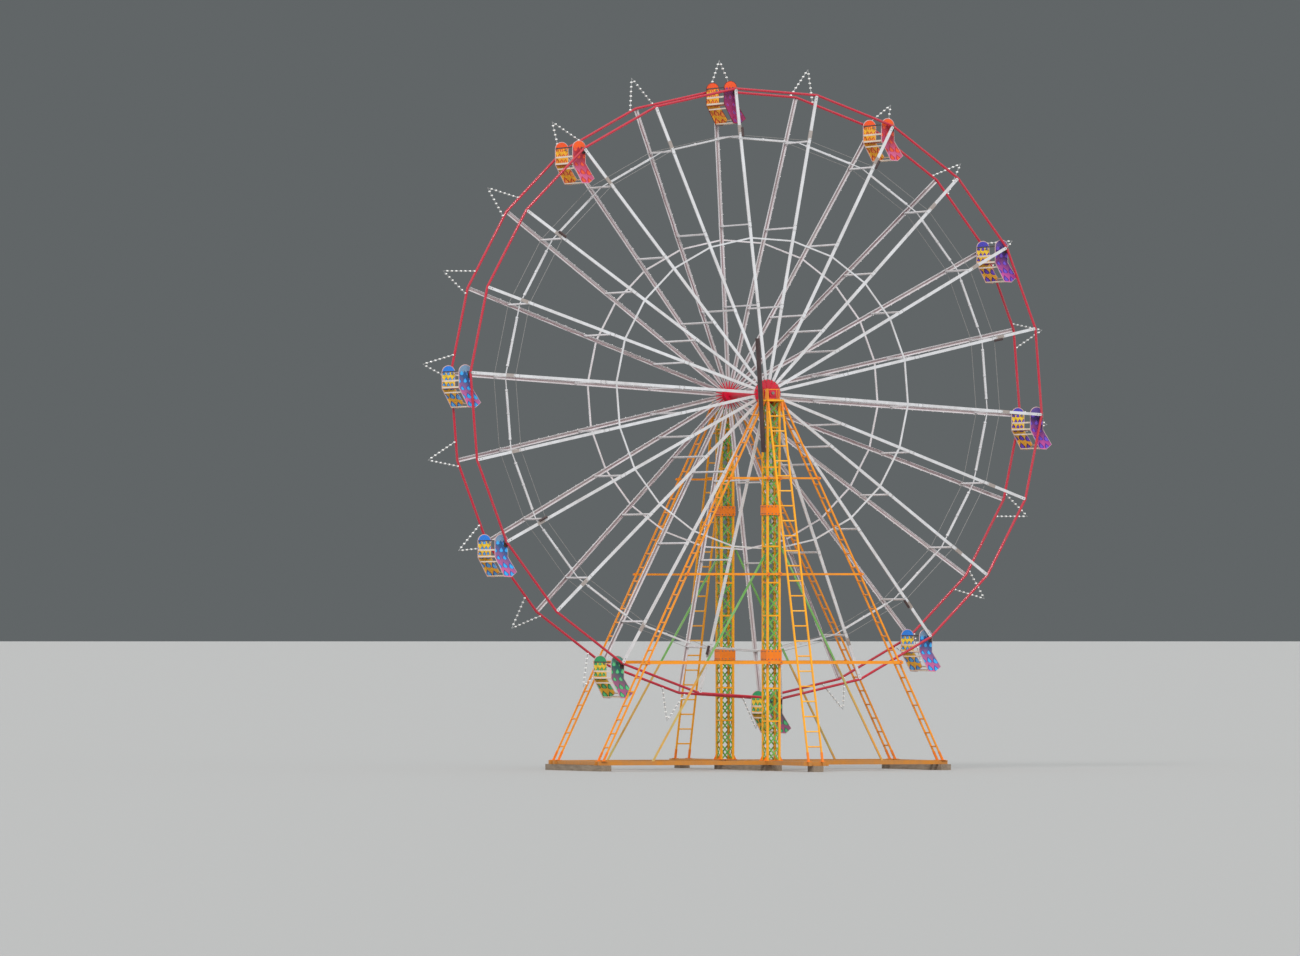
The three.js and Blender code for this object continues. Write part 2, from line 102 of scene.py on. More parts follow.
@dataclass(frozen=True)
class WheelSizes:
    """Driving sizes of the wheel, in metres and degrees."""

    rim_r: float = 9.3
    spokes: int = 22
    first: float = 94.55
    rim_y: float = 0.9
    tube_r: float = 0.04
    hub_y: float = 1.65
    spoke_in: float = 0.228
    near_spoke_w: float = 0.086
    far_spoke_w: float = 0.122
    spoke_d: float = 0.05
    struts: tuple[float, ...] = (0.29, 0.555, 0.845)
    star_reach: float = 1.1
    star_lean: float = -1.2
    star_half: float = 2.4
    star_tube: float = 0.014
    disc_r: float = 0.42
    disc_face: float = 1.6993
    drum_r: float = 0.21
    drum_in: float = 1.42

    @property
    def step(self) -> float:
        """The angle between two spokes."""
        return 360.0 / self.spokes

    @property
    def outer_strut(self) -> float:
        """The radius of the outer struts and of the middle ring."""
        return self.struts[2] * self.rim_r

    def spoke_w(self, side: Side) -> float:
        """The width of the spokes on one side."""
        return self.near_spoke_w if side is Side.NEAR else self.far_spoke_w

    def angle(self, k: float) -> float:
        """The angle of spoke k from +X towards +Z."""
        return self.first + self.step * k

    def depth(self, r: float) -> float:
        """How far a spoke lies from the middle plane at radius r."""
        share = (r - self.spoke_in) / (self.rim_r - self.spoke_in)
        return self.hub_y + (self.rim_y - self.hub_y) * share

    def rim_line(self, offset: float) -> float:
        """Measures the rim's centre line away from its corner.

        Args:
            offset: the angle from the corner.

        Returns:
            The line's radius there.
        """
        half = self.step / 2
        low = self.rim_r * math.cos(math.radians(half))
        return low / math.cos(math.radians(half - abs(offset)))


@dataclass(frozen=True)
class SupportSizes:
    """Driving sizes of the masts and their stays, in metres."""

    mast_y: float = 2.0
    mast_w: float = 0.45
    chord: float = 0.068
    head_x: float = 0.32
    head_z: float = 11.2
    sill_top: float = 0.3
    stile: float = 0.05
    stile_gap: float = 0.45
    rung_pitch: float = 0.9
    leg_top_x: float = 0.3
    leg_foot_x: float = 5.5
    out_top_y: float = 2.325
    out_foot_y: float = 5.775
    ties: tuple[Range, ...] = ((8.87, 0.055), (5.96, 0.06), (3.28, 0.095))
    collars: tuple[Range, ...] = ((3.5, 0.34), (7.9, 0.3))


WHEEL = WheelSizes()
SUPPORT = SupportSizes()


class Hub:
    """The wheel's centre, read from its joint in the frame."""

    centre: Vector = Vector((0.0, 0.0, 0.0))

    @classmethod
    def read(cls, joints: list[dict]) -> None:
        """Takes the centre from the wheel's joint."""
        found = next(j for j in joints if j["name"] == "wheel_turn")
        cls.centre = Vector(found["pos_m"])


def deep(y: float) -> Vector:
    """A step along the axle."""
    return Vector((0, y, 0))


def on_wheel(r: float, angle: float, y: float) -> Vector:
    """The point at a radius, an angle from +X towards +Z and a depth."""
    t = math.radians(angle)
    return Hub.centre + Vector((r * math.cos(t), y, r * math.sin(t)))


def spoke_axes(angle: float) -> tuple[Vector, Vector]:
    """The outward direction at an angle on the wheel, and the one across it, anticlockwise."""
    out = on_wheel(1, angle, 0) - Hub.centre
    return out, Vector((-out.z, 0, out.x))


def circle(count: int, r: float = 1.0) -> Section:
    """Evenly spaced points on a circle, anticlockwise from its right."""
    turns = [2 * math.pi * i / count for i in range(count)]
    return [(r * math.cos(t), r * math.sin(t)) for t in turns]


# Shader groups -----------------------------------------------------------------------


class Nodes:
    """A short way to add and join the nodes of one tree."""

    def __init__(self, tree: bpy.types.NodeTree) -> None:
        """Works on one tree."""
        self.tree = tree

    def send(self, node: bpy.types.Node, inputs: dict) -> None:
        """Joins outputs to a node's inputs, or sets their values.

        Args:
            node: the node.
            inputs: values or output sockets by input name or number.
        """
        for name, value in inputs.items():
            if isinstance(value, Socket):
                self.tree.links.new(value, node.inputs[name])
            else:
                node.inputs[name].default_value = value

    def add(self, kind: str, inputs: dict | None = None, **props: object) -> bpy.types.Node:
        """Adds a node.

        Args:
            kind: the node's Blender type.
            inputs: values or output sockets by input name or number.
            props: attributes of the node.

        Returns:
            The node.
        """
        made = self.tree.nodes.new(kind)
        for name, value in props.items():
            setattr(made, name, value)
        self.send(made, inputs or {})
        return made

    def math(self, operation: str, *values: object) -> Socket:
        """One arithmetic step on numbers or sockets."""
        inputs = dict(enumerate(values))
        return self.add("ShaderNodeMath", inputs, operation=operation).outputs[0]

    def plus(self, a: object, b: object) -> Socket:
        """The sum of two values."""
        return self.math("ADD", a, b)

    def minus(self, a: object, b: object) -> Socket:
        """The first value less the second."""
        return self.math("SUBTRACT", a, b)

    def times(self, a: object, b: object) -> Socket:
        """The product of two values."""
        return self.math("MULTIPLY", a, b)

    def over(self, a: object, b: object) -> Socket:
        """The first value divided by the second."""
        return self.math("DIVIDE", a, b)

    def mix(self, share: object, a: object, b: object) -> Socket:
        """Mixes two colours: all of a at a share of 0, all of b at 1."""
        return self.add("ShaderNodeMix", {0: share, 6: a, 7: b}, data_type="RGBA").outputs[2]

    def ramp(self, value: object, low: object, high: object) -> Socket:
        """Maps low..high to 0..1, held at the ends."""
        inputs = {"Value": value, "From Min": low, "From Max": high}
        return self.add("ShaderNodeMapRange", inputs).outputs[0]

    def noise(self, vector: object, scale: object, detail: float) -> Socket:
        """A noise pattern's value."""
        inputs = {"Vector": vector, "Scale": scale, "Detail": detail, "Roughness": 0.62}
        return self.add("ShaderNodeTexNoise", inputs).outputs[0]

    def split(self, vector: object) -> Sockets:
        """The x, y and z of a vector."""
        return self.add("ShaderNodeSeparateXYZ", {0: vector}).outputs

    def place(self, scale: Colour | None = None) -> Socket:
        """The object's own coordinates, scaled where a scale is given."""
        spot = self.add("ShaderNodeTexCoord").outputs["Object"]
        return self.stretch(spot, scale) if scale else spot

    def stretch(self, vector: object, scale: Colour) -> Socket:
        """A vector scaled along each axis."""
        return self.add("ShaderNodeMapping", {"Vector": vector, "Scale": scale}).outputs[0]

    def facing(self) -> Sockets:
        """The x, y and z of the surface's normal."""
        return self.split(self.add("ShaderNodeNewGeometry").outputs["Normal"])


def rgba(colour: Colour) -> tuple[float, float, float, float]:
    """A colour with full opacity."""
    return (*colour, 1.0)


def kinds(kind: str, *names: str) -> dict[str, str]:
    """Sockets of one kind, for new_group."""
    return dict.fromkeys(names, kind)


def new_group(
    name: str, inputs: dict[str, str], outputs: dict[str, str], tree_kind: str = "ShaderNodeTree"
) -> tuple[Nodes, Sockets, bpy.types.Node]:
    """Starts a node group.

    Args:
        name: the group's name.
        inputs: the kind of each input by its name.
        outputs: the same for what it gives.
        tree_kind: the Blender type of its tree.

    Returns:
        Its node helper, the sockets of its inputs and its output node.
    """
    tree = bpy.data.node_groups.new(name, tree_kind)
    for way, sockets in (("INPUT", inputs), ("OUTPUT", outputs)):
        for label, kind in sockets.items():
            tree.interface.new_socket(label, in_out=way, socket_type=f"NodeSocket{kind}")
    n = Nodes(tree)
    return n, n.add("NodeGroupInput").outputs, n.add("NodeGroupOutput")


@dataclass(frozen=True)
class Wear:
    """How weathering lies on paint: noise scales, mask ranges, shares and soil colours."""

    streak: Colour = (1.0, 1.0, 0.3)
    broad_scale: float = 0.35
    fine_scale: float = 2.2
    speck_scale: float = 9.0
    faded: Range = (0.35, 0.7)
    mottled: Range = (0.42, 0.75)
    mottle_share: float = 0.22
    rust_edge: float = 0.78
    rust_spread: float = 0.34
    rust_soft: float = 0.05
    fine_share: float = 0.7
    lying: Range = (0.3, 1.0)
    settled: Range = (0.25, 0.6)
    rough: float = 0.42
    rust_rough: float = 0.4
    dust_rough: float = 0.3
    fine_rough: float = 0.12
    fine_height: float = 0.25
    rust_height: float = 0.6
    grime: Colour = (0.16, 0.12, 0.1)
    rust_dark: Colour = (0.16, 0.055, 0.025)
    rust_light: Colour = (0.36, 0.15, 0.06)
    dust: Colour = (0.42, 0.37, 0.31)


@cache
def weathering_group() -> bpy.types.NodeTree:
    """Builds the group that fades, streaks, dusts and rusts a paint.

    Returns:
        The group, with Color, Roughness and Height outputs.
    """
    w = Wear()
    n, put, out = new_group(
        "weathered_paint",
        kinds("Color", "Paint", "Faded") | kinds("Float", "Fading", "Rust", "Dust", "Grain"),
        kinds("Color", "Color") | kinds("Float", "Roughness", "Height"),
    )
    place = n.place()
    broad = n.noise(place, n.times(put["Grain"], w.broad_scale), 3)
    fine = n.noise(n.stretch(place, w.streak), n.times(put["Grain"], w.fine_scale), 8)
    speck = n.noise(place, n.times(put["Grain"], w.speck_scale), 5)
    fade = n.times(n.ramp(broad, *w.faded), put["Fading"])
    painted = n.mix(fade, put["Paint"], put["Faded"])
    mottled = n.mix(n.times(n.ramp(fine, *w.mottled), w.mottle_share), painted, rgba(w.grime))
    edge = n.minus(w.rust_edge, n.times(put["Rust"], w.rust_spread))
    blotch = n.plus(n.times(fine, w.fine_share), n.times(speck, 1 - w.fine_share))
    rust = n.ramp(blotch, edge, n.plus(edge, w.rust_soft))
    brown = n.mix(speck, rgba(w.rust_dark), rgba(w.rust_light))
    lying = n.times(n.ramp(n.facing()[2], *w.lying), n.ramp(broad, *w.settled))
    dusty = n.times(lying, put["Dust"])
    rough = n.plus(w.rough, n.times(rust, w.rust_rough))
    rough = n.plus(rough, n.times(dusty, w.dust_rough))
    given = {
        "Color": n.mix(dusty, n.mix(rust, mottled, brown), rgba(w.dust)),
        "Roughness": n.plus(rough, n.times(fine, w.fine_rough)),
        "Height": n.minus(n.times(fine, w.fine_height), n.times(rust, w.rust_height)),
    }
    n.send(out, given)
    return n.tree


@dataclass(frozen=True)
class DropSizes:
    """The drops on a cabin side, in shares of their pitch or of their own size."""

    size: float = 0.44
    least: float = 0.74
    vary: float = 0.3
    row: float = 1.25
    jitter: float = 0.12
    tall: float = 1.2
    belly: float = 0.78
    fill: Range = (0.0, 0.06)
    edge: Range = (0.2, 0.26)
    core: Range = (0.42, 0.48)


@cache
def drop_group() -> bpy.types.NodeTree:
    """Builds the group that scatters rimmed drops in staggered rows.

    Returns:
        The group, with Drop, Edge and Core masks.
    """
    d = DropSizes()
    n, put, out = new_group(
        "drop_field",
        kinds("Float", "U", "V", "Pitch", "Tall", "Size", "Jitter"),
        kinds("Float", "Drop", "Edge", "Core"),
    )
    high = n.times(put["Pitch"], put["Tall"])
    row = n.over(put["V"], high)
    line = n.math("FLOOR", row)
    stagger = n.times(n.math("PINGPONG", line, 1.0), 0.5)
    column = n.plus(n.over(put["U"], put["Pitch"]), stagger)
    cell = n.add("ShaderNodeCombineXYZ", {0: n.math("FLOOR", column), 1: line})
    chance = n.add("ShaderNodeTexWhiteNoise", {"Vector": cell.outputs[0]})
    rolls = n.add("ShaderNodeSeparateColor", {0: chance.outputs["Color"]}).outputs
    size = n.times(put["Size"], n.plus(n.times(rolls[2], d.vary), d.least))
    spots = []
    for place, pitch, roll, stretch in (
        (column, put["Pitch"], rolls[0], 1.0),
        (row, high, rolls[1], d.tall),
    ):
        stray = n.times(n.minus(roll, 0.5), put["Jitter"])
        off = n.plus(n.minus(n.math("FRACT", place), 0.5), stray)
        spots.append(n.over(n.times(off, pitch), n.times(size, stretch)))
    x, y = spots
    bow = n.math("SQRT", n.math("MAXIMUM", n.minus(1.0, n.times(y, y)), 0.0))
    half = n.times(n.times(bow, n.minus(1.0, y)), d.belly)
    depth = n.minus(half, n.math("ABSOLUTE", x))
    drop = n.ramp(depth, *d.fill)
    edge = n.minus(drop, n.ramp(depth, *d.edge))
    n.send(out, {"Drop": drop, "Edge": edge, "Core": n.ramp(depth, *d.core)})
    return n.tree


COAT_COLOURS = ("Top", "Foot", "Drop", "Edge", "Core", "Dome")
COAT_SIZES = ("Lean", "Change", "Dome Foot", "Small", "Large")
GRADE = (0.15, 1.05)
DRIP_HALF, DRIP_DEEP, DRIP_SOFT = 0.045, 1.6, 0.008


@cache
def side_group() -> bpy.types.NodeTree:
    """Builds the group that paints a cabin side: a graded ground, drops and a dripping dome.

    The side's own UV map holds metres: u across from its left edge, v up from its foot.

    Returns:
        The group, with a Color output.
    """
    d = DropSizes()
    n, put, out = new_group(
        "cabin_side", kinds("Color", *COAT_COLOURS) | kinds("Float", *COAT_SIZES), kinds("Color", "Color")
    )
    u, v, _ = n.split(n.add("ShaderNodeUVMap").outputs[0])
    grade = n.ramp(n.plus(v, n.times(u, put["Lean"])), *GRADE)
    above = n.math("GREATER_THAN", v, put["Change"])
    pitch = n.plus(put["Large"], n.times(above, n.minus(put["Small"], put["Large"])))
    inputs = {"U": u, "V": v, "Pitch": pitch, "Size": n.times(pitch, d.size)}
    inputs |= {"Tall": d.row, "Jitter": d.jitter}
    drops = n.add("ShaderNodeGroup", inputs, node_tree=drop_group()).outputs
    colour = n.mix(grade, put["Foot"], put["Top"])
    for name in ("Drop", "Edge", "Core"):
        colour = n.mix(drops[name], colour, put[name])
    drip = n.times(n.math("PINGPONG", u, DRIP_HALF), DRIP_DEEP)
    foot = n.minus(put["Dome Foot"], drip)
    domed = n.ramp(v, foot, n.plus(foot, DRIP_SOFT))
    n.send(out, {"Color": n.mix(domed, colour, put["Dome"])})
    return n.tree


# Finishes ----------------------------------------------------------------------------


def new_material(name: str) -> tuple[bpy.types.Material, Nodes, bpy.types.Node]:
    """Starts a material.

    Args:
        name: its name.

    Returns:
        The material, its node helper and its shader.
    """
    made = bpy.data.materials.new(name)
    made.use_nodes = True
    return made, Nodes(made.node_tree), made.node_tree.nodes["Principled BSDF"]


@dataclass(frozen=True)
class Paint:
    """Weathered paint on steel."""

    name: str
    colour: Colour
    faded: Colour
    fading: float = 0.6
    rust: float = 0.3
    dust: float = 0.5
    grain: float = 3.0
    bump: float = 0.0015
    metallic: float = 0.0
    coat: float = 0.0
    specular: float = 0.35

    def ground(self, n: Nodes) -> object:
        """The unworn paint's colour, as a value or a socket."""
        return rgba(self.colour)

    def material(self) -> bpy.types.Material:
        """Makes the material.

        Returns:
            The finished material.
        """
        material, n, shader = new_material(self.name)
        material.diffuse_color = rgba(self.colour)
        inputs = {
            "Paint": self.ground(n),
            "Faded": rgba(self.faded),
            "Fading": self.fading,
            "Rust": self.rust,
            "Dust": self.dust,
            "Grain": self.grain,
        }
        worn = n.add("ShaderNodeGroup", inputs, node_tree=weathering_group()).outputs
        bump = n.add("ShaderNodeBump", {"Height": worn["Height"], "Distance": self.bump})
        looks = {
            "Metallic": self.metallic,
            "Coat Weight": self.coat,
            "Specular IOR Level": self.specular,
            "Base Color": worn["Color"],
            "Roughness": worn["Roughness"],
            "Normal": bump.outputs[0],
        }
        n.send(shader, looks)
        return material


@dataclass(frozen=True)
class TwoSidedPaint(Paint):
    """Channel paint: outboard faces in the white, inboard faces in a lighter, pinker copy that offsets
    their shade, with painted shade along the middle of each web.
    """

    # inner: the inboard faces' colour, lightened to offset the shade inside the channels
    inner: Colour = (0.5, 0.42, 0.4)
    # line: painted shade along the middle of each inboard web, the trough of the channel
    line: Colour = (0.3, 0.2, 0.21)
    line_half: float = 0.021
    line_soft: float = 0.006
    turned: float = 0.4

    def ground(self, n: Nodes) -> Socket:
        """Tells outboard from inboard faces and finds the middle of each spoke, where the painted shade of
        the channel's trough goes.

        Args:
            n: the material's node helper.

        Returns:
            The unworn paint's colour.
        """
        spot = n.split(n.place())
        outward = n.times(n.math("SIGN", spot[1]), n.facing()[1])
        share = n.ramp(outward, self.turned, -self.turned)
        x, z = spot[0], n.minus(spot[2], Hub.centre.z)
        step = math.radians(WHEEL.step)
        turn = n.over(n.minus(n.math("ARCTAN2", z, x), math.radians(WHEEL.first)), step)
        off = n.math("ABSOLUTE", n.minus(turn, n.math("ROUND", turn)))
        radius = n.math("SQRT", n.plus(n.times(x, x), n.times(z, z)))
        aside = n.times(n.times(off, step), radius)
        # painted shade: a dark line along the middle of each spoke's inboard web
        middle = n.ramp(aside, self.line_half + self.line_soft, self.line_half - self.line_soft)
        shaded_web = n.times(middle, n.math("GREATER_THAN", share, 0.9))
        return n.mix(share, rgba(self.colour), n.mix(shaded_web, rgba(self.inner), rgba(self.line)))


@dataclass(frozen=True)
class BandedPaint(Paint):
    """Paint that changes to a second colour below a height."""

    low: Colour = (0.75, 0.6, 0.3)
    change_z: float = 3.0
    blend: float = 0.01

    def ground(self, n: Nodes) -> Socket:
        """The unworn paint's colour by height."""
        share = n.ramp(n.split(n.place())[2], self.change_z - self.blend, self.change_z + self.blend)
        return n.mix(share, rgba(self.low), rgba(self.colour))


@dataclass(frozen=True)
class Coat:
    """The colours on one face of a cabin side."""

    top: Colour
    foot: Colour
    drop: Colour
    edge: Colour
    core: Colour
    dome: Colour


@dataclass(frozen=True)
class MotifPaint(Paint):
    """A cabin side's paint: a graded ground with drops under a coloured dome."""

    coat_of: Coat | None = None
    lean: float = 0.0
    change: float = 0.58
    dome_foot: float = 1.11
    small: float = 0.13
    large: float = 0.2

    def ground(self, n: Nodes) -> Socket:
        """Paints the side.

        Args:
            n: the material's node helper.

        Returns:
            The unworn paint's colour.
        """
        inputs = {name: rgba(getattr(self.coat_of, name.lower())) for name in COAT_COLOURS}
        inputs |= {name: getattr(self, name.lower().replace(" ", "_")) for name in COAT_SIZES}
        return n.add("ShaderNodeGroup", inputs, node_tree=side_group()).outputs[0]


@dataclass(frozen=True)
class Timber:
    """Rough grey-brown timber with its grain along y."""

    name: str
    light: Colour = (0.34, 0.27, 0.2)
    dark: Colour = (0.13, 0.09, 0.06)
    grain: Colour = (14.0, 0.9, 14.0)
    grain_share: float = 0.7
    contrast: Range = (0.3, 0.7)
    bump: float = 0.006
    roughness: float = 0.9

    def material(self) -> bpy.types.Material:
        """Makes the material.

        Returns:
            The finished material.
        """
        material, n, shader = new_material(self.name)
        grain = n.noise(n.place(self.grain), 2.2, 8)
        blotch = n.noise(n.place(), 1.7, 3)
        both = n.plus(n.times(grain, self.grain_share), n.times(blotch, 1 - self.grain_share))
        bump = n.add("ShaderNodeBump", {"Height": grain, "Distance": self.bump})
        looks = {
            "Base Color": n.mix(n.ramp(both, *self.contrast), rgba(self.dark), rgba(self.light)),
            "Normal": bump.outputs[0],
            "Roughness": self.roughness,
        }
        n.send(shader, looks)
        return material


@dataclass(frozen=True)
class Opal:
    """Glossy white lamp glass, a little soiled."""

    name: str
    colour: Colour = (0.95, 0.95, 0.94)
    soiled: Colour = (0.86, 0.85, 0.8)
    contrast: Range = (0.3, 0.7)
    roughness: float = 0.22
    coat: float = 0.3

    def material(self) -> bpy.types.Material:
        """Makes the material.

        Returns:
            The finished material.
        """
        material, n, shader = new_material(self.name)
        share = n.ramp(n.noise(n.place(), 3.0, 3), *self.contrast)
        glass = n.mix(share, rgba(self.colour), rgba(self.soiled))
        n.send(shader, {"Base Color": glass, "Roughness": self.roughness, "Coat Weight": self.coat})
        return material


Finish = Paint | Timber | Opal


@cache
def material_of(finish: Finish) -> bpy.types.Material:
    """The material of a finish, built at its first use."""
    return finish.material()


# Each paint: name, colour, faded colour, fading, rust, dust, grain.
RIM_RED = Paint(
    "rim_red", (0.5, 0.003, 0.028), (0.42, 0.01, 0.035), 0.4, 0.16, 0.08, 2.5, coat=0.6, specular=0.3
)
HUB_RED = Paint(
    "hub_red", (0.66, 0.002, 0.032), (0.5, 0.005, 0.03), 0.4, 0.14, 0.08, 5.0, coat=0.3, specular=0.25
)
# The inner colour lightens the inboard faces against their shade, and the dark line is painted shade in
# each channel's trough.
SPOKE_WHITE = TwoSidedPaint(
    "spoke_white", (0.66, 0.67, 0.69), (0.5, 0.47, 0.46), 0.5, 0.26, 0.3, 2.6, inner=(0.72, 0.67, 0.69)
)
SLEEVE_GREY = Paint("sleeve_grey", (0.36, 0.32, 0.3), (0.3, 0.24, 0.2), 0.6, 0.4, 0.4, 5.0)
STAR_WHITE = Paint("star_white", (0.42, 0.43, 0.43), (0.26, 0.26, 0.26), 0.6, 0.3, 0.2, 6.0)
CHORD_YELLOW = Paint(
    "chord_yellow", (0.9, 0.38, 0.004), (0.8, 0.34, 0.02), 0.5, 0.2, 0.15, 3.0, specular=0.25
)
STAY_ORANGE = Paint(
    "stay_orange", (0.87, 0.29, 0.006), (0.78, 0.28, 0.025), 0.55, 0.24, 0.15, 3.0, specular=0.25
)
RUNG_YELLOW = Paint(
    "rung_yellow", (0.9, 0.43, 0.03), (0.82, 0.44, 0.1), 0.6, 0.2, 0.15, 4.0, specular=0.25
)
COLLAR_ORANGE = Paint(
    "collar_orange", (0.88, 0.2, 0.002), (0.7, 0.2, 0.02), 0.5, 0.22, 0.15, 3.0, specular=0.25
)
LACING_GREEN = Paint(
    "lacing_green", (0.09, 0.35, 0.05), (0.28, 0.48, 0.12), 0.6, 0.2, 0.1, 4.0, specular=0.2
)
BRACE_GREEN = BandedPaint(
    "brace_green", (0.12, 0.38, 0.07), (0.3, 0.5, 0.2), 0.6, 0.2, 0.2, 3.0,
    low=(0.72, 0.32, 0.04), change_z=3.3,
)
SILL_YELLOW = Paint("sill_yellow", (0.55, 0.2, 0.015), (0.4, 0.2, 0.07), 0.7, 0.4, 0.5, 2.6)
BEARING_IRON = Paint("bearing_iron", (0.86, 0.3, 0.006), (0.5, 0.16, 0.03), 0.6, 0.3, 0.2, 8.0)
BOLT_STEEL = Paint(
    "bolt_steel", (0.26, 0.24, 0.22), (0.2, 0.17, 0.14), 0.6, 0.5, 0.3, 20.0, bump=0.0004, metallic=0.7
)
POLE_BROWN = Paint("pole_brown", (0.04, 0.022, 0.024), (0.085, 0.05, 0.048), 0.6, 0.3, 0.1, 4.0)
CREAM = Paint("rail_cream", (0.82, 0.7, 0.56), (0.72, 0.5, 0.42), 0.5, 0.2, 0.2, 9.0)
TRIM_PINK = Paint("trim_pink", (0.6, 0.42, 0.42), (0.5, 0.28, 0.3), 0.5, 0.2, 0.15, 9.0)
TRIM_DARK = Paint("trim_maroon", (0.12, 0.01, 0.012), (0.2, 0.03, 0.02), 0.5, 0.2, 0.1, 9.0)
# grab_bar_dark: the grab bars' paint; on the hanger plates it is partly painted shade round the pins
GRAB_DARK = Paint("grab_bar_dark", (0.03, 0.018, 0.018), (0.09, 0.05, 0.045), 0.5, 0.3, 0.1, 9.0)
# seat_red: a dark red-brown, partly the seat's paint and partly painted shade under the seat and rail
SEAT_RED = Paint("seat_red", (0.42, 0.05, 0.02), (0.42, 0.12, 0.06), 0.6, 0.3, 0.3, 7.0)
WIRE_GREY = Paint("wire_grey", (0.3, 0.29, 0.28), (0.2, 0.19, 0.18), 0.5, 0.2, 0.2, 30.0)
WIRE_RED = Paint("wire_red", (0.2, 0.08, 0.1), (0.16, 0.09, 0.1), 0.5, 0.0, 0.2, 30.0)
SLEEPER = Timber("sleeper_timber")
OPAL = Opal("lamp_opal")

# Each coat: top, foot, drop, edge, core, dome.
ORANGE_INSIDE = Coat(
    (0.87, 0.44, 0.02), (0.84, 0.37, 0.01), (0.72, 0.03, 0.01),
    (0.32, 0.012, 0.008), (0.86, 0.3, 0.04), (0.86, 0.085, 0.008),
)
INSIDES = {
    Scheme.ORANGE: ORANGE_INSIDE,
    Scheme.ROSE: ORANGE_INSIDE,
    Scheme.BLUE: Coat(
        (0.87, 0.62, 0.03), (0.84, 0.4, 0.02), (0.02, 0.19, 0.6),
        (0.012, 0.05, 0.2), (0.1, 0.4, 0.8), (0.012, 0.2, 0.72),
    ),
    Scheme.GREEN: Coat(
        (0.84, 0.62, 0.05), (0.8, 0.42, 0.02), (0.02, 0.32, 0.09),
        (0.01, 0.1, 0.04), (0.1, 0.55, 0.2), (0.02, 0.32, 0.12),
    ),
    Scheme.VIOLET: Coat(
        (0.87, 0.6, 0.04), (0.85, 0.38, 0.02), (0.07, 0.02, 0.26),
        (0.03, 0.006, 0.07), (0.14, 0.05, 0.55), (0.06, 0.05, 0.46),
    ),
}
OUTSIDES = {
    Scheme.ROSE: Coat(
        (0.4, 0.02, 0.035), (0.66, 0.13, 0.3), (0.6, 0.03, 0.03),
        (0.38, 0.01, 0.05), (0.8, 0.09, 0.03), (0.86, 0.1, 0.008),
    ),
    Scheme.ORANGE: Coat(
        (0.15, 0.01, 0.09), (0.4, 0.01, 0.1), (0.5, 0.012, 0.03),
        (0.09, 0.012, 0.12), (0.2, 0.04, 0.26), (0.86, 0.085, 0.008),
    ),
    Scheme.BLUE: Coat(
        (0.008, 0.09, 0.25), (0.7, 0.11, 0.32), (0.02, 0.22, 0.7),
        (0.03, 0.02, 0.2), (0.03, 0.42, 0.84), (0.16, 0.28, 0.42),
    ),
    Scheme.GREEN: Coat(
        (0.01, 0.1, 0.09), (0.5, 0.08, 0.26), (0.02, 0.32, 0.1),
        (0.01, 0.08, 0.1), (0.1, 0.5, 0.2), (0.08, 0.26, 0.2),
    ),
    Scheme.VIOLET: Coat(
        (0.03, 0.015, 0.13), (0.6, 0.07, 0.36), (0.05, 0.02, 0.32),
        (0.14, 0.01, 0.2), (0.16, 0.07, 0.55), (0.1, 0.06, 0.26),
    ),
}

# The finish of each CAD node that stays, by a word in its name; the others are stays and ties.
NODE_FINISHES: dict[str, Finish] = {
    "spoke_bay": SPOKE_WHITE,
    "mast": CHORD_YELLOW,
    "outrigger": CHORD_YELLOW,
    "brace": BRACE_GREEN,
    "sleeper": SLEEPER,
    "erecting_pole": POLE_BROWN,
    "base_frame": SILL_YELLOW,
    "bearing": BEARING_IRON,
    "rim": RIM_RED,
    "hub": RIM_RED,
    "axle": RIM_RED,
    "cabin": SEAT_RED,
}


def dress(nodes: dict[str, bpy.types.Object]) -> None:
    """Gives each CAD node its finish.

    Args:
        nodes: the nodes by name.
    """
    for name, node in nodes.items():
        finish = next((found for word, found in NODE_FINISHES.items() if word in name), STAY_ORANGE)
        node.data.materials.clear()
        node.data.materials.append(material_of(finish))


# Shapes ------------------------------------------------------------------------------


def stand(name: str, data: bpy.types.ID) -> bpy.types.Object:
    """Puts data in the scene as an object at the origin.

    Args:
        name: the object's name.
        data: its mesh, lamp or camera.

    Returns:
        The object.
    """
    made = bpy.data.objects.new(name, data)
    bpy.context.scene.collection.objects.link(made)
    return made


def smooth_off(mesh: bpy.types.Mesh) -> None:
    """Shades a mesh round across its shallow edges."""
    mesh.polygons.foreach_set("use_smooth", [True] * len(mesh.polygons))
    mesh.set_sharp_from_angle(angle=math.radians(SMOOTH_ANGLE))


def skin(rings: int, sides: int, closed: bool = False) -> Faces:
    """Joins rings of corners that are numbered one ring after the other.

    Args:
        rings: how many rings there are.
        sides: the corners in each.
        closed: whether the last ring joins the first; otherwise both ends are capped.

    Returns:
        The faces.
    """
    faces: Faces = []
    for i in range(rings if closed else rings - 1):
        k = (i + 1) % rings
        for j in range(sides):
            m = (j + 1) % sides
            faces.append((i * sides + j, i * sides + m, k * sides + m, k * sides + j))
    if not closed:
        faces.append(tuple(reversed(range(sides))))
        faces.append(tuple((rings - 1) * sides + j for j in range(sides)))
    return faces


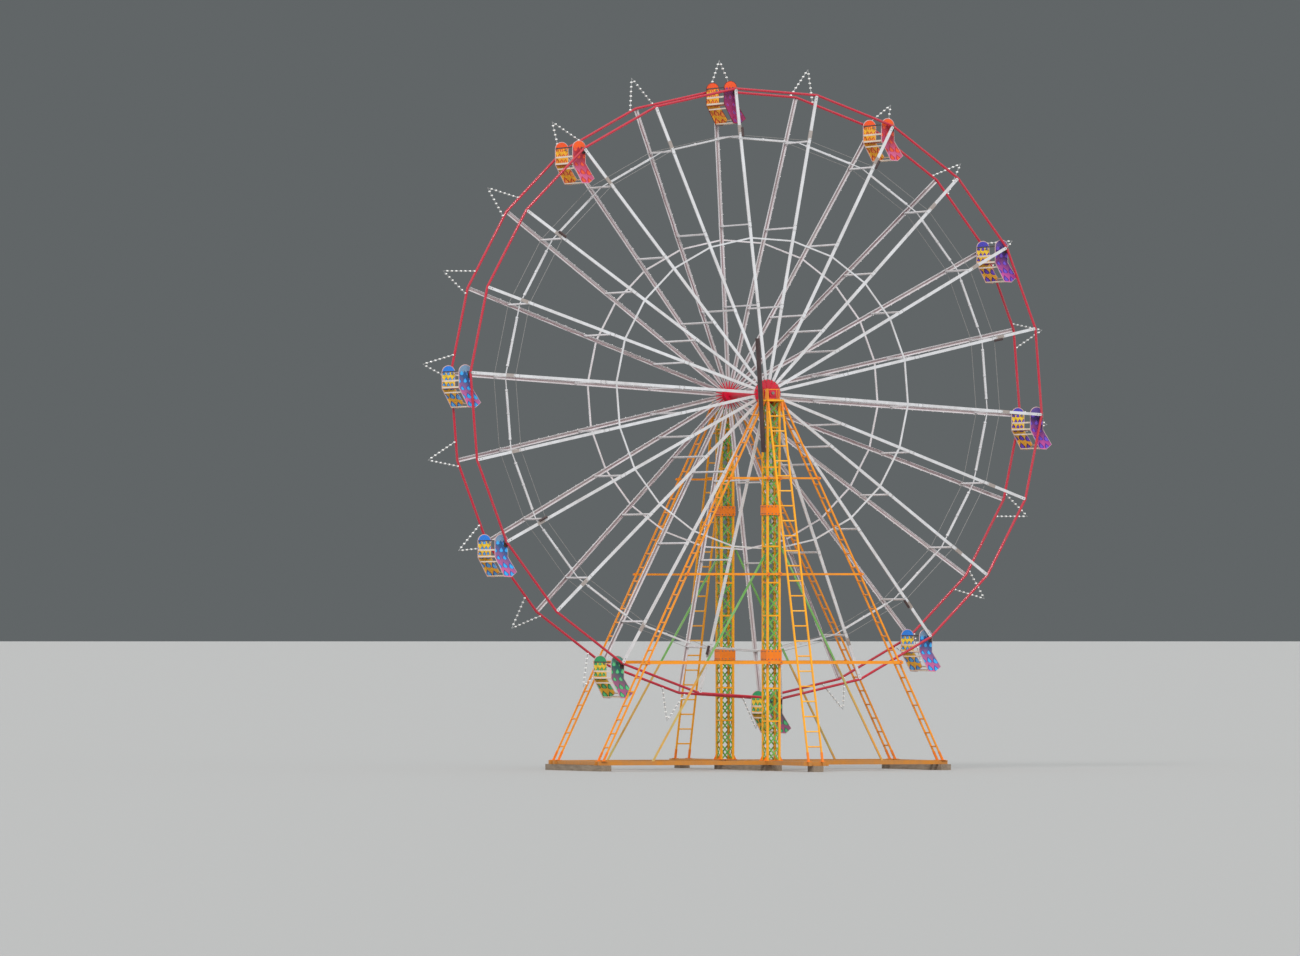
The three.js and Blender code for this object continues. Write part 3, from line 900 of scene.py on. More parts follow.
class Shape:
    """Gathers the faces of one piece and makes it a mesh object at the origin."""

    def __init__(self) -> None:
        """Starts with no faces."""
        self.points: list[Vector] = []
        self.faces: Faces = []
        self.slots: list[int] = []
        self.uvs: list[Section] = []

    def add(
        self,
        points: Iterable[Point],
        faces: Iterable[Sequence[int]],
        slot: int = 0,
        uvs: Sequence[Section] = (),
    ) -> None:
        """Adds faces over new points.

        Args:
            points: the corners.
            faces: corner numbers of each face, counted from the first of these points.
            slot: the finish number of the faces.
            uvs: one list of corner positions for each face, where a pattern needs them.
        """
        start = len(self.points)
        self.points.extend(Vector(p) for p in points)
        for i, face in enumerate(faces):
            self.faces.append(tuple(start + j for j in face))
            self.slots.append(slot)
            self.uvs.append(uvs[i] if uvs else [(0.0, 0.0)] * len(face))

    def carry(self, section: Section, a: Point, b: Point, u: Point, v: Point, slot: int = 0) -> None:
        """Carries a flat section straight from one point to another, with closed ends.

        Args:
            section: the section's corners.
            a: where it starts.
            b: where it ends.
            u: the direction of the section's first measure.
            v: the direction of its second.
            slot: the finish number.
        """
        a, b, u, v = Vector(a), Vector(b), Vector(u), Vector(v)
        count = len(section)
        points = [end + u * x + v * y for end in (a, b) for x, y in section]
        order = range(count)
        faces: Faces = [tuple(reversed(order)), tuple(count + i for i in order)]
        faces += [(i, (i + 1) % count, count + (i + 1) % count, count + i) for i in order]
        if u.cross(v).dot(b - a) <= 0:
            faces = [tuple(reversed(f)) for f in faces]
        self.add(points, faces, slot)

    def bar(self, a: Point, b: Point, wide: float, thick: float, up: Point = Z, slot: int = 0) -> None:
        """Adds a square-cut bar.

        Args:
            a: the middle of one end.
            b: the middle of the other.
            wide: its size across.
            thick: its size along the side nearest to up.
            up: the direction that sets its turn.
            slot: the finish number.
        """
        along = (Vector(b) - Vector(a)).normalized()
        across = along.cross(Vector(up)).normalized()
        w, h = wide / 2, thick / 2
        section = [(-w, -h), (w, -h), (w, h), (-w, h)]
        self.carry(section, a, b, across, across.cross(along), slot)

    def box(self, low: Point, high: Point, slot: int = 0) -> None:
        """Adds a box.

        Args:
            low: its lowest corner.
            high: its highest.
            slot: the finish number.
        """
        low, high = Vector(low), Vector(high)
        mid_y, mid_z = (low.y + high.y) / 2, (low.z + high.z) / 2
        wide, thick = high.y - low.y, high.z - low.z
        self.bar((low.x, mid_y, mid_z), (high.x, mid_y, mid_z), wide, thick, slot=slot)

    def tube(self, a: Point, b: Point, r: float, sides: int = 12, slot: int = 0) -> None:
        """Adds a round bar.

        Args:
            a: the middle of one end.
            b: the middle of the other.
            r: its radius.
            sides: sides of its section.
            slot: the finish number.
        """
        along = (Vector(b) - Vector(a)).normalized()
        hint = Vector(Y) if abs(along.y) < 0.9 else Vector(X)
        u = along.cross(hint).normalized()
        self.carry(circle(sides, r), a, b, u, along.cross(u), slot)

    def lathe(self, profile: Section, centre: Vector, way: int, sides: int = 64) -> None:
        """Turns a closed profile about the Y axis through a centre.

        Args:
            profile: radius and y pairs, in order round the section.
            centre: the point on the axis where y is nought.
            way: 1 to build towards +Y or -1 towards -Y.
            sides: sides of the turned skin.
        """
        points = [centre + Vector((r * c, way * y, r * s)) for c, s in circle(sides) for r, y in profile]
        faces = skin(sides, len(profile), closed=True)
        self.add(points, faces if way > 0 else [tuple(reversed(f)) for f in faces])

    def pipe(
        self, path: Sequence[Point], r: float, sides: int = 8, slot: int = 0, closed: bool = False
    ) -> None:
        """Adds a bent round pipe along a path.

        Args:
            path: the centre line.
            r: the pipe's radius.
            sides: sides of its section.
            slot: its finish number.
            closed: whether its end joins its start.
        """
        line = [Vector(p) for p in path]
        count = len(line)
        points: list[Vector] = []
        hint = Vector(Y)
        for i, p in enumerate(line):
            before = line[i - 1] if i or closed else p
            after = line[(i + 1) % count] if i < count - 1 or closed else p
            along = (after - before).normalized()
            side = hint - along * hint.dot(along)
            hint = side.normalized() if side.length > 1e-4 else along.orthogonal().normalized()
            other = along.cross(hint)
            points += [p + hint * c + other * s for c, s in circle(sides, r)]
        self.add(points, skin(count, sides, closed), slot)

    def object(self, name: str, finishes: Sequence[Finish], smooth: bool = True) -> bpy.types.Object:
        """Makes the mesh object.

        Args:
            name: the piece's name.
            finishes: its finishes, by number.
            smooth: whether shallow edges are shaded round.

        Returns:
            The object, at the origin.
        """
        mesh = bpy.data.meshes.new(name)
        mesh.from_pydata([tuple(p) for p in self.points], [], self.faces)
        for finish in finishes:
            mesh.materials.append(material_of(finish))
        layer = mesh.uv_layers.new(name="flat")
        mesh.polygons.foreach_set("material_index", self.slots)
        for polygon, corners in zip(mesh.polygons, self.uvs):
            for loop, uv in zip(polygon.loop_indices, corners):
                layer.data[loop].uv = uv
        if smooth:
            smooth_off(mesh)
        mesh.validate()
        mesh.update()
        return stand(name, mesh)


# Geometry Nodes ----------------------------------------------------------------------


def growing_tree(name: str, inputs: dict[str, str]) -> tuple[Nodes, Sockets, bpy.types.Node]:
    """Starts a Geometry Nodes tree that ends in one finish; see new_group."""
    inputs = kinds("Geometry", "Geometry") | inputs | kinds("Material", "Finish")
    return new_group(name, inputs, kinds("Geometry", "Geometry"), "GeometryNodeTree")


def end_tree(n: Nodes, shape: bpy.types.Node, finish: Socket, out: bpy.types.Node) -> None:
    """Makes a grown shape plain, gives it its finish and sends it out.

    Args:
        n: the tree's node helper.
        shape: the node that makes the shape.
        finish: the socket with its material.
        out: the tree's output node.
    """
    whole = n.add("GeometryNodeRealizeInstances", {0: shape.outputs[0]})
    painted = n.add("GeometryNodeSetMaterial", {"Geometry": whole.outputs[0], "Material": finish})
    n.send(out, {0: painted.outputs[0]})


def grow(
    name: str, points: bpy.types.Mesh, tree: bpy.types.NodeTree, values: dict[str, object]
) -> bpy.types.Mesh:
    """Runs a tree over some points and returns the plain mesh.

    Args:
        name: the name of the object that carries the tree, which is removed.
        points: its mesh.
        tree: the tree.
        values: its inputs by name.

    Returns:
        The mesh that the tree makes.
    """
    host = stand(name, points)
    modifier = host.modifiers.new("grow", "NODES")
    modifier.node_group = tree
    for item in tree.interface.items_tree:
        if item.in_out == "INPUT" and item.name in values:
            modifier[item.identifier] = values[item.name]
    bpy.context.view_layer.update()
    graph = bpy.context.evaluated_depsgraph_get()
    mesh = bpy.data.meshes.new_from_object(host.evaluated_get(graph), depsgraph=graph)
    bpy.data.objects.remove(host)
    return mesh


def place_mesh(name: str, mesh: bpy.types.Mesh) -> bpy.types.Object:
    """Puts a grown mesh in the scene as a piece at the origin."""
    smooth_off(mesh)
    return stand(name, mesh)


@cache
def pipe_ring_tree() -> bpy.types.NodeTree:
    """Builds the tree that grows a many-cornered ring of round pipe.

    Returns:
        The tree.
    """
    sizes = kinds("Float", "Radius", "Pipe Radius") | kinds("Int", "Corners", "Sides")
    n, put, out = growing_tree("pipe_ring", sizes)
    rings = {}
    for curve, count, radius in (
        ("Curve", "Corners", "Radius"),
        ("Profile Curve", "Sides", "Pipe Radius"),
    ):
        inputs = {"Resolution": put[count], "Radius": put[radius]}
        rings[curve] = n.add("GeometryNodeCurvePrimitiveCircle", inputs).outputs[0]
    pipe = n.add("GeometryNodeCurveToMesh", rings)
    end_tree(n, pipe, put["Finish"], out)
    return n.tree


@cache
def stamp_tree() -> bpy.types.NodeTree:
    """Builds the tree that sets copies of one small shape at many places.

    Returns:
        The tree.
    """
    n, put, out = growing_tree("stamp", kinds("Object", "Shape"))
    turn, stretch = (
        n.add("GeometryNodeInputNamedAttribute", {"Name": name}, data_type="FLOAT_VECTOR").outputs[0]
        for name in ("turn", "stretch")
    )
    inputs = {
        "Points": put["Geometry"],
        "Instance": n.add("GeometryNodeObjectInfo", {"Object": put["Shape"]}).outputs["Geometry"],
        "Rotation": n.add("FunctionNodeEulerToRotation", {0: turn}).outputs[0],
        "Scale": stretch,
    }
    end_tree(n, n.add("GeometryNodeInstanceOnPoints", inputs), put["Finish"], out)
    return n.tree


def stamped(name: str, shape: Shape, places: Sequence[Matrix], finish: Finish) -> bpy.types.Object:
    """Sets copies of a shape.

    Args:
        name: the piece's name.
        shape: the shape about its own origin.
        places: where each copy goes, as a placing matrix.
        finish: the finish of all copies.

    Returns:
        One plain mesh object with all copies.
    """
    mould = shape.object(f"{name}_mould", [finish])
    mesh = bpy.data.meshes.new(f"{name}_places")
    parts = [m.decompose() for m in places]
    mesh.from_pydata([tuple(p) for p, _, _ in parts], [], [])
    for label, rows in (
        ("turn", [tuple(q.to_euler()) for _, q, _ in parts]),
        ("stretch", [tuple(s) for _, _, s in parts]),
    ):
        layer = mesh.attributes.new(label, "FLOAT_VECTOR", "POINT")
        layer.data.foreach_set("vector", [x for row in rows for x in row])
    grown = grow(f"{name}_host", mesh, stamp_tree(), {"Shape": mould, "Finish": material_of(finish)})
    bpy.data.objects.remove(mould)
    return place_mesh(name, grown)


def frame_of(origin: Point, x: Point, y: Point, scale: Point = (1, 1, 1)) -> Matrix:
    """Makes a placing matrix.

    Args:
        origin: where it puts the origin.
        x: where it turns x.
        y: the direction near which it turns y.
        scale: its scale along each axis.

    Returns:
        The matrix.
    """
    ex = Vector(x).normalized()
    ez = ex.cross(Vector(y)).normalized()
    ey = ez.cross(ex)
    turn = Matrix((ex, ey, ez)).transposed().to_4x4()
    return Matrix.Translation(Vector(origin)) @ turn @ Matrix.Diagonal((*scale, 1.0))


def between(a: Point, b: Point, y: Point, thick: float, high: float) -> Matrix:
    """A placing matrix that lays a unit bar from a to b."""
    run = Vector(b) - Vector(a)
    return frame_of(a, run, y, (run.length, thick, high))


def unit_bar() -> Shape:
    """Makes a bar to be stretched.

    Returns:
        The bar, one metre long on +X and one metre square.
    """
    made = Shape()
    made.box((0, -0.5, -0.5), (1, 0.5, 0.5))
    return made


def unit_rod(sides: int) -> Shape:
    """Makes a round bar to be stretched.

    Args:
        sides: sides of its section.

    Returns:
        The bar, one metre long on +X and one metre across.
    """
    made = Shape()
    made.tube((0, 0, 0), X, 0.5, sides)
    return made


def hex_bolt(r: float, high: float) -> Shape:
    """Makes a hexagon head on a washer, with the bolt's end past it.

    Args:
        r: the head's radius.
        high: how high it stands.

    Returns:
        The bolt, standing on +X from the origin.
    """
    made = Shape()
    for start, end, share, sides in ((0, 0.25, 1.25, 12), (0.2, 1, 1, 6), (0.9, 1.35, 0.5, 8)):
        made.tube((start * high, 0, 0), (end * high, 0, 0), share * r, sides)
    return made


BULB_SIDES = 8
BULB = ((0.0, 0.011), (0.012, 0.012), (0.02, 0.022), (0.034, 0.028), (0.048, 0.022), (0.056, 0.008))


def bulb() -> Shape:
    """Makes a small round lamp on a cap.

    Returns:
        The lamp, standing on +X from the origin.
    """
    made = Shape()
    points = [(x, r * c, r * s) for x, r in BULB for c, s in circle(BULB_SIDES)]
    made.add(points, skin(len(BULB), BULB_SIDES))
    return made


@dataclass
class Assembly:
    """A sub-assembly that adds pieces to one CAD body."""

    body: str
    made: list[bpy.types.Object] = field(default_factory=list)

    def keep(self, piece: bpy.types.Object, slot: str, *nodes: str) -> None:
        """Rides a piece on the body.

        Args:
            piece: the finished object.
            slot: the record's material slot; not used.
            nodes: the CAD nodes that it stands for, if any.
        """
        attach(piece, self.body)
        if nodes:
            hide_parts(*nodes)
        self.made.append(piece)

    def stamp(
        self,
        name: str,
        shape: Shape,
        places: Sequence[Matrix],
        finish: Finish = BOLT_STEEL,
        slot: str = "bearing_steel",
    ) -> None:
        """Keeps copies of a shape as one piece.

        Args:
            name: the piece's name.
            shape: the shape about its own origin.
            places: where each copy goes.
            finish: the finish of all copies.
            slot: the record's material slot.
        """
        self.keep(stamped(name, shape, places, finish), slot)

    def report(self) -> None:
        """Logs the pieces and their sizes."""
        for piece in self.made:
            LOG.info("%s: %d faces on %s", piece.name, len(piece.data.polygons), self.body)


@dataclass
class Sided(Assembly):
    """A sub-assembly that both sides have."""

    side: Side = Side.NEAR

    def named(self, word: str) -> str:
        """A name with the side's prefix."""
        return f"{self.side.prefix}_{word}"


# The wheel ---------------------------------------------------------------------------


@dataclass
class Rim(Sided):
    """One rim: its pipe, cabin pins, spoke straps and their bolts."""

    cabins: Sequence[Vector] = ()
    pipe_sides: int = 14
    pin_steps: tuple[tuple[float, float, float, int], ...] = (
        (0.7, 0.96, 0.02, 16),
        (0.703, 0.719, 0.034, 6),
        (0.8, 0.83, 0.034, 16),
    )
    strap: tuple[float, float, float] = (-0.2, -0.03, -0.012)
    strap_cut: float = 0.02
    strap_t: float = 0.008
    strap_gap: float = 0.002
    strap_bolts: Range = (-0.16, -0.07)
    bolt: Range = (0.012, 0.012)

    def build(self) -> None:
        """Makes the rim's pieces."""
        w = WHEEL
        values = {
            "Radius": w.rim_r,
            "Pipe Radius": w.tube_r,
            "Corners": w.spokes,
            "Sides": self.pipe_sides,
            "Finish": material_of(RIM_RED),
        }
        mesh = grow("ring_host", bpy.data.meshes.new("ring_host"), pipe_ring_tree(), values)
        turn = Matrix.Rotation(math.radians(90), 4, "X") @ Matrix.Rotation(math.radians(w.first), 4, "Z")
        mesh.transform(Matrix.Translation(Hub.centre + deep(self.side.value * w.rim_y)) @ turn)
        self.keep(place_mesh(self.named("rim_pipe"), mesh), "wheel_red", self.named("rim"))
        self.pins()
        self.straps()

    def pins(self) -> None:
        """The pivot pins that reach in to the cabins, with their nuts and collars."""
        s = self.side.value
        shape = Shape()
        for pivot in self.cabins:
            for start, end, r, sides in self.pin_steps:
                shape.tube(pivot + deep(s * start), pivot + deep(s * end), r, sides)
        self.keep(shape.object(self.named("cabin_pins"), [BOLT_STEEL]), "bearing_steel")

    def straps(self) -> None:
        """Narrow straps that tie each spoke end to the rim, each with two bolts."""
        w, s, cut = WHEEL, self.side.value, self.strap_cut
        half = w.spoke_w(self.side) / 2
        inner, neck, end = self.strap
        outline = [(inner, -half), (neck, -half), (end, cut - half)]
        outline += [(x, -across) for x, across in reversed(outline)]
        thick = deep(s * self.strap_t)
        y = s * (w.rim_y + w.spoke_d / 2 + self.strap_gap)
        straps, bolts = Shape(), []
        for k in range(w.spokes):
            out, across = spoke_axes(w.angle(k))
            origin = on_wheel(w.rim_r, w.angle(k), y)
            straps.carry(outline, origin, origin + thick, out, across)
            bolts += [frame_of(origin + out * x + thick, (0, s, 0), out) for x in self.strap_bolts]
        self.keep(straps.object(self.named("corner_straps"), [SPOKE_WHITE]), "spoke_white")
        self.stamp(self.named("corner_bolts"), hex_bolt(*self.bolt), bolts)


@dataclass
class Stars(Assembly):
    """The pointed lamp frames on the far rim."""

    lamps_a_leg: int = 7
    first_lamp: float = 0.4
    spare: float = 0.3
    lamp_size: float = 0.9
    lamp_out: float = 0.8

    def legs(self, k: int) -> list[tuple[Vector, Vector]]:
        """Lays out one star.

        Args:
            k: its number.

        Returns:
            Its two legs, each from rim to tip.
        """
        w = WHEEL
        middle = w.angle(k) + w.star_lean
        tip = on_wheel(w.star_reach * w.rim_r - w.star_tube, middle, w.rim_y)
        turns = (-w.star_half, w.star_half)
        return [(on_wheel(w.rim_line(w.star_lean + t), middle + t, w.rim_y), tip) for t in turns]

    def build(self) -> None:
        """Makes the star tubes and their lamps."""
        tubes, places = Shape(), []
        for k in range(WHEEL.spokes):
            (left, tip), (right, _) = self.legs(k)
            tubes.pipe([left, tip, right], WHEEL.star_tube, 8)
            for foot in (left, right):
                for i in range(self.lamps_a_leg):
                    at = foot.lerp(tip, (i + self.first_lamp) / (self.lamps_a_leg + self.spare))
                    for way in (-1, 1):
                        spot = at + deep(way * WHEEL.star_tube * self.lamp_out)
                        places.append(frame_of(spot, (0, way, 0), tip - foot, (self.lamp_size,) * 3))
        self.keep(tubes.object("star_frames", [STAR_WHITE]), "spoke_white")
        self.stamp("star_lamps", bulb(), places, OPAL, "bulb_white")


@dataclass
class HubSet(Assembly):
    """Hub discs, drum flanges, bolts and the axle's skin."""

    axle_r: float = 0.1
    journal_r: float = 0.045
    journal_end: float = 2.19
    boss_r: float = 0.11
    boss_y: float = 1.738
    flange: float = 0.03
    edge: float = 0.0235
    step: float = 0.006
    ribs: int = 11
    rib_run: float = 0.27
    rib_w: float = 0.014
    disc_bolts_r: float = 0.39
    boss_bolts_r: float = 0.085
    bolt: Range = (0.015, 0.014)

    def build(self) -> None:
        """Makes the pieces of both hubs."""
        for side in Side:
            self.disc(side)
            self.bolts(side)
        axle = Shape()
        for y, r, sides, slot in (
            (WHEEL.drum_in, self.axle_r, 32, 0),
            (self.journal_end, self.journal_r, 24, 1),
        ):
            axle.tube(Hub.centre + deep(-y), Hub.centre + deep(y), r, sides, slot)
        self.keep(axle.object("axle_skin", [HUB_RED, BOLT_STEEL]), "wheel_red", "axle")

    def disc(self, side: Side) -> None:
        """Makes one hub's drum, disc and boss, with ribs on its face.

        Args:
            side: which hub.
        """
        w, s, c = WHEEL, side.value, Hub.centre
        disc, drum, neck = w.disc_r - 0.001, w.drum_r - 0.002, w.drum_r - 0.012
        face, back = w.disc_face, w.disc_face - self.edge
        profile = [
            (self.axle_r, w.drum_in),
            (drum, w.drum_in),
            (drum, w.drum_in + self.flange),
            (neck, w.drum_in + self.flange + self.step),
            (neck, back),
            (disc, back),
            (disc, face - 0.003),
            (disc - 0.003, face),
            (self.boss_r + 0.008, face),
            (self.boss_r, face + self.step),
            (self.boss_r, self.boss_y),
            (self.journal_r + 0.001, self.boss_y),
        ]
        shape = Shape()
        shape.lathe(profile, c, s)
        for i in range(self.ribs):
            out, _ = spoke_axes(360 / self.ribs * i)
            start = c + out * self.axle_r + deep(s * (face + self.step))
            shape.bar(start, start + out * self.rib_run, self.rib_w, self.rib_w, Y)
        self.keep(shape.object(f"{side.prefix}_hub_skin", [HUB_RED]), "wheel_red", f"{side.prefix}_hub")

    def bolts(self, side: Side) -> None:
        """Sets bolts round the disc, one at each spoke, and six at the boss.

        Args:
            side: which hub.
        """
        w, s = WHEEL, side.value
        spots = [on_wheel(self.disc_bolts_r, w.angle(k), s * w.disc_face) for k in range(w.spokes)]
        spots += [on_wheel(self.boss_bolts_r, 60 * k, s * self.boss_y) for k in range(6)]
        places = [frame_of(at, (0, s, 0), Z) for at in spots]
        self.stamp(f"{side.prefix}_hub_bolts", hex_bolt(*self.bolt), places)


@dataclass
class SpokeTrim(Assembly):
    """Splice plates, sleeves, clamps, stubs and lamps on the spokes."""

    splice_half: float = 0.1
    splice_t: float = 0.008
    splice_bolts: Range = (0.14, 0.86)
    bolt_aside: float = 0.026
    bolt: Range = (0.009, 0.009)
    sleeve_gap: float = 0.03
    sleeve_run: float = 0.3
    sleeve_past: float = 0.014
    clamps: tuple[float, ...] = (0.15, 0.5, 0.81)
    clamp_half: float = 0.012
    clamp_w: float = 0.086
    stubs: tuple[int, ...] = (0, 3, 7, 10, 13, 17, 20)
    stub_run: Range = (-0.02, 0.26)
    stub_turn: Range = (-0.46, -0.5)
    stub_w: float = 0.08
    lamps_from: float = 0.9
    lamps_run: float = 7.6
    lamp_pitch: float = 0.33
    lamp_size: float = 0.5

    def build(self) -> None:
        """Makes the trim of all spokes."""
        self.splices()
        self.sleeves()
        self.link_clamps()
        self.strut_stubs()
        self.lamps()

    def face(self, r: float, angle: float, side: Side, lift: float) -> Vector:
        """A point on the outboard face of a spoke, lifted off it."""
        w = WHEEL
        return on_wheel(r, angle, side.value * (w.depth(r) + w.spoke_d / 2 + lift))

    def splices(self) -> None:
        """A plate with bolts where each spoke is joined, at the struts."""
        w, lift = WHEEL, self.splice_t / 2
        plates, bolts = Shape(), []
        for side in Side:
            s = side.value
            for k in range(w.spokes):
                angle = w.angle(k)
                out, across = spoke_axes(angle)
                for share in w.struts:
                    r = share * w.rim_r
                    ends = (r - self.splice_half, r + self.splice_half)
                    a, b = (self.face(end, angle, side, lift) for end in ends)
                    plates.bar(a, b, w.spoke_w(side) + 0.004, self.splice_t, Y)
                    for t in self.splice_bolts:
                        at = a.lerp(b, t) + deep(s * lift)
                        for way in (-self.bolt_aside, self.bolt_aside):
                            bolts.append(frame_of(at + across * way, (0, s, 0), out))
        self.keep(plates.object("spoke_splices", [SPOKE_WHITE]), "spoke_white")
        self.stamp("spoke_bolts", hex_bolt(*self.bolt), bolts)

    def sleeves(self) -> None:
        """The channel sleeve on each near spoke, outward of its outer strut."""
        w, past = WHEEL, self.sleeve_past
        start = w.outer_strut + self.sleeve_gap
        places = []
        for k in range(w.spokes):
            a, b = (on_wheel(r, w.angle(k), -w.depth(r)) for r in (start, start + self.sleeve_run))
            places.append(between(a, b, Y, w.spoke_d + past, w.near_spoke_w + past))
        self.stamp("outer_sleeves", unit_bar(), places, SLEEVE_GREY, "spoke_white")

    def link_clamps(self) -> None:
        """Round clamps along each bar of the middle ring."""
        w, half = WHEEL, self.clamp_half
        places = []
        for k in range(w.spokes):
            a, b = (on_wheel(w.outer_strut, w.angle(i), 0) for i in (k, k - 1))
            for share in self.clamps:
                low, high = a.lerp(b, share - half), a.lerp(b, share + half)
                places.append(between(low, high, Y, self.clamp_w, self.clamp_w))
        self.stamp("middle_ring_clamps", unit_rod(14), places, SPOKE_WHITE, "spoke_white")

    def strut_stubs(self) -> None:
        """Short dark stubs beside some of the near spokes at the outer struts."""
        w = WHEEL
        places = []
        for k in self.stubs:
            a, b = (
                self.face(w.outer_strut + run, w.angle(k) + turn, Side.NEAR, 0.02)
                for run, turn in zip(self.stub_run, self.stub_turn)
            )
            places.append(between(a, b, Y, self.stub_w, self.stub_w))
        self.stamp("strut_stubs", unit_rod(8), places, POLE_BROWN, "pole_brown")

    def lamps(self) -> None:
        """The lamps along the clockwise edge of each far spoke."""
        w = WHEEL
        places = []
        for k in range(w.spokes):
            out, across = spoke_axes(w.angle(k))
            edge = -across
            for i in range(int(self.lamps_run / self.lamp_pitch)):
                r = self.lamps_from + i * self.lamp_pitch
                at = on_wheel(r, w.angle(k), w.depth(r) - 0.012) + edge * (w.far_spoke_w / 2 - 0.006)
                places.append(frame_of(at, edge, out, (self.lamp_size,) * 3))
        self.stamp("spoke_lamps", bulb(), places, OPAL, "bulb_white")


@dataclass
class Cables(Assembly):
    """The near and far wire rings and the lamp cables along some spokes."""

    wire: float = 0.007
    wire_gap: float = 0.02
    wire_out: float = 0.024
    cable: float = 0.007
    cabled: tuple[int, ...] = (1, 4, 8, 12, 15, 19)
    start: float = 0.45
    run: float = 8.4
    steps: int = 24
    aside: float = 0.03
    sway: float = 0.02

    def build(self) -> None:
        """Makes the wire rings and the runs to the hub."""
        w = WHEEL
        rings, runs = Shape(), Shape()
        for side in Side:
            y = side.value * (w.depth(w.outer_strut) - w.spoke_d / 2 - self.wire_gap)
            ends = [on_wheel(w.outer_strut + self.wire_out, w.angle(k), y) for k in range(w.spokes)]
            rings.pipe(ends, self.wire, 6, closed=True)
        self.keep(rings.object("wire_rings", [WIRE_GREY], smooth=False), "wire_dark")
        for k in self.cabled:
            path = []
            for i in range(self.steps + 1):
                r = self.start + self.run * i / self.steps
                across = self.aside + self.sway * math.sin(i * 1.9 + k)
                y = w.depth(r) - w.spoke_d / 2 - self.cable
                path.append(on_wheel(r, w.angle(k) + math.degrees(across / max(r, 0.8)), y))
            runs.pipe(path, self.cable, 6)
        self.keep(runs.object("spoke_cables", [WIRE_RED], smooth=False), "wire_dark")


# The cabins --------------------------------------------------------------------------


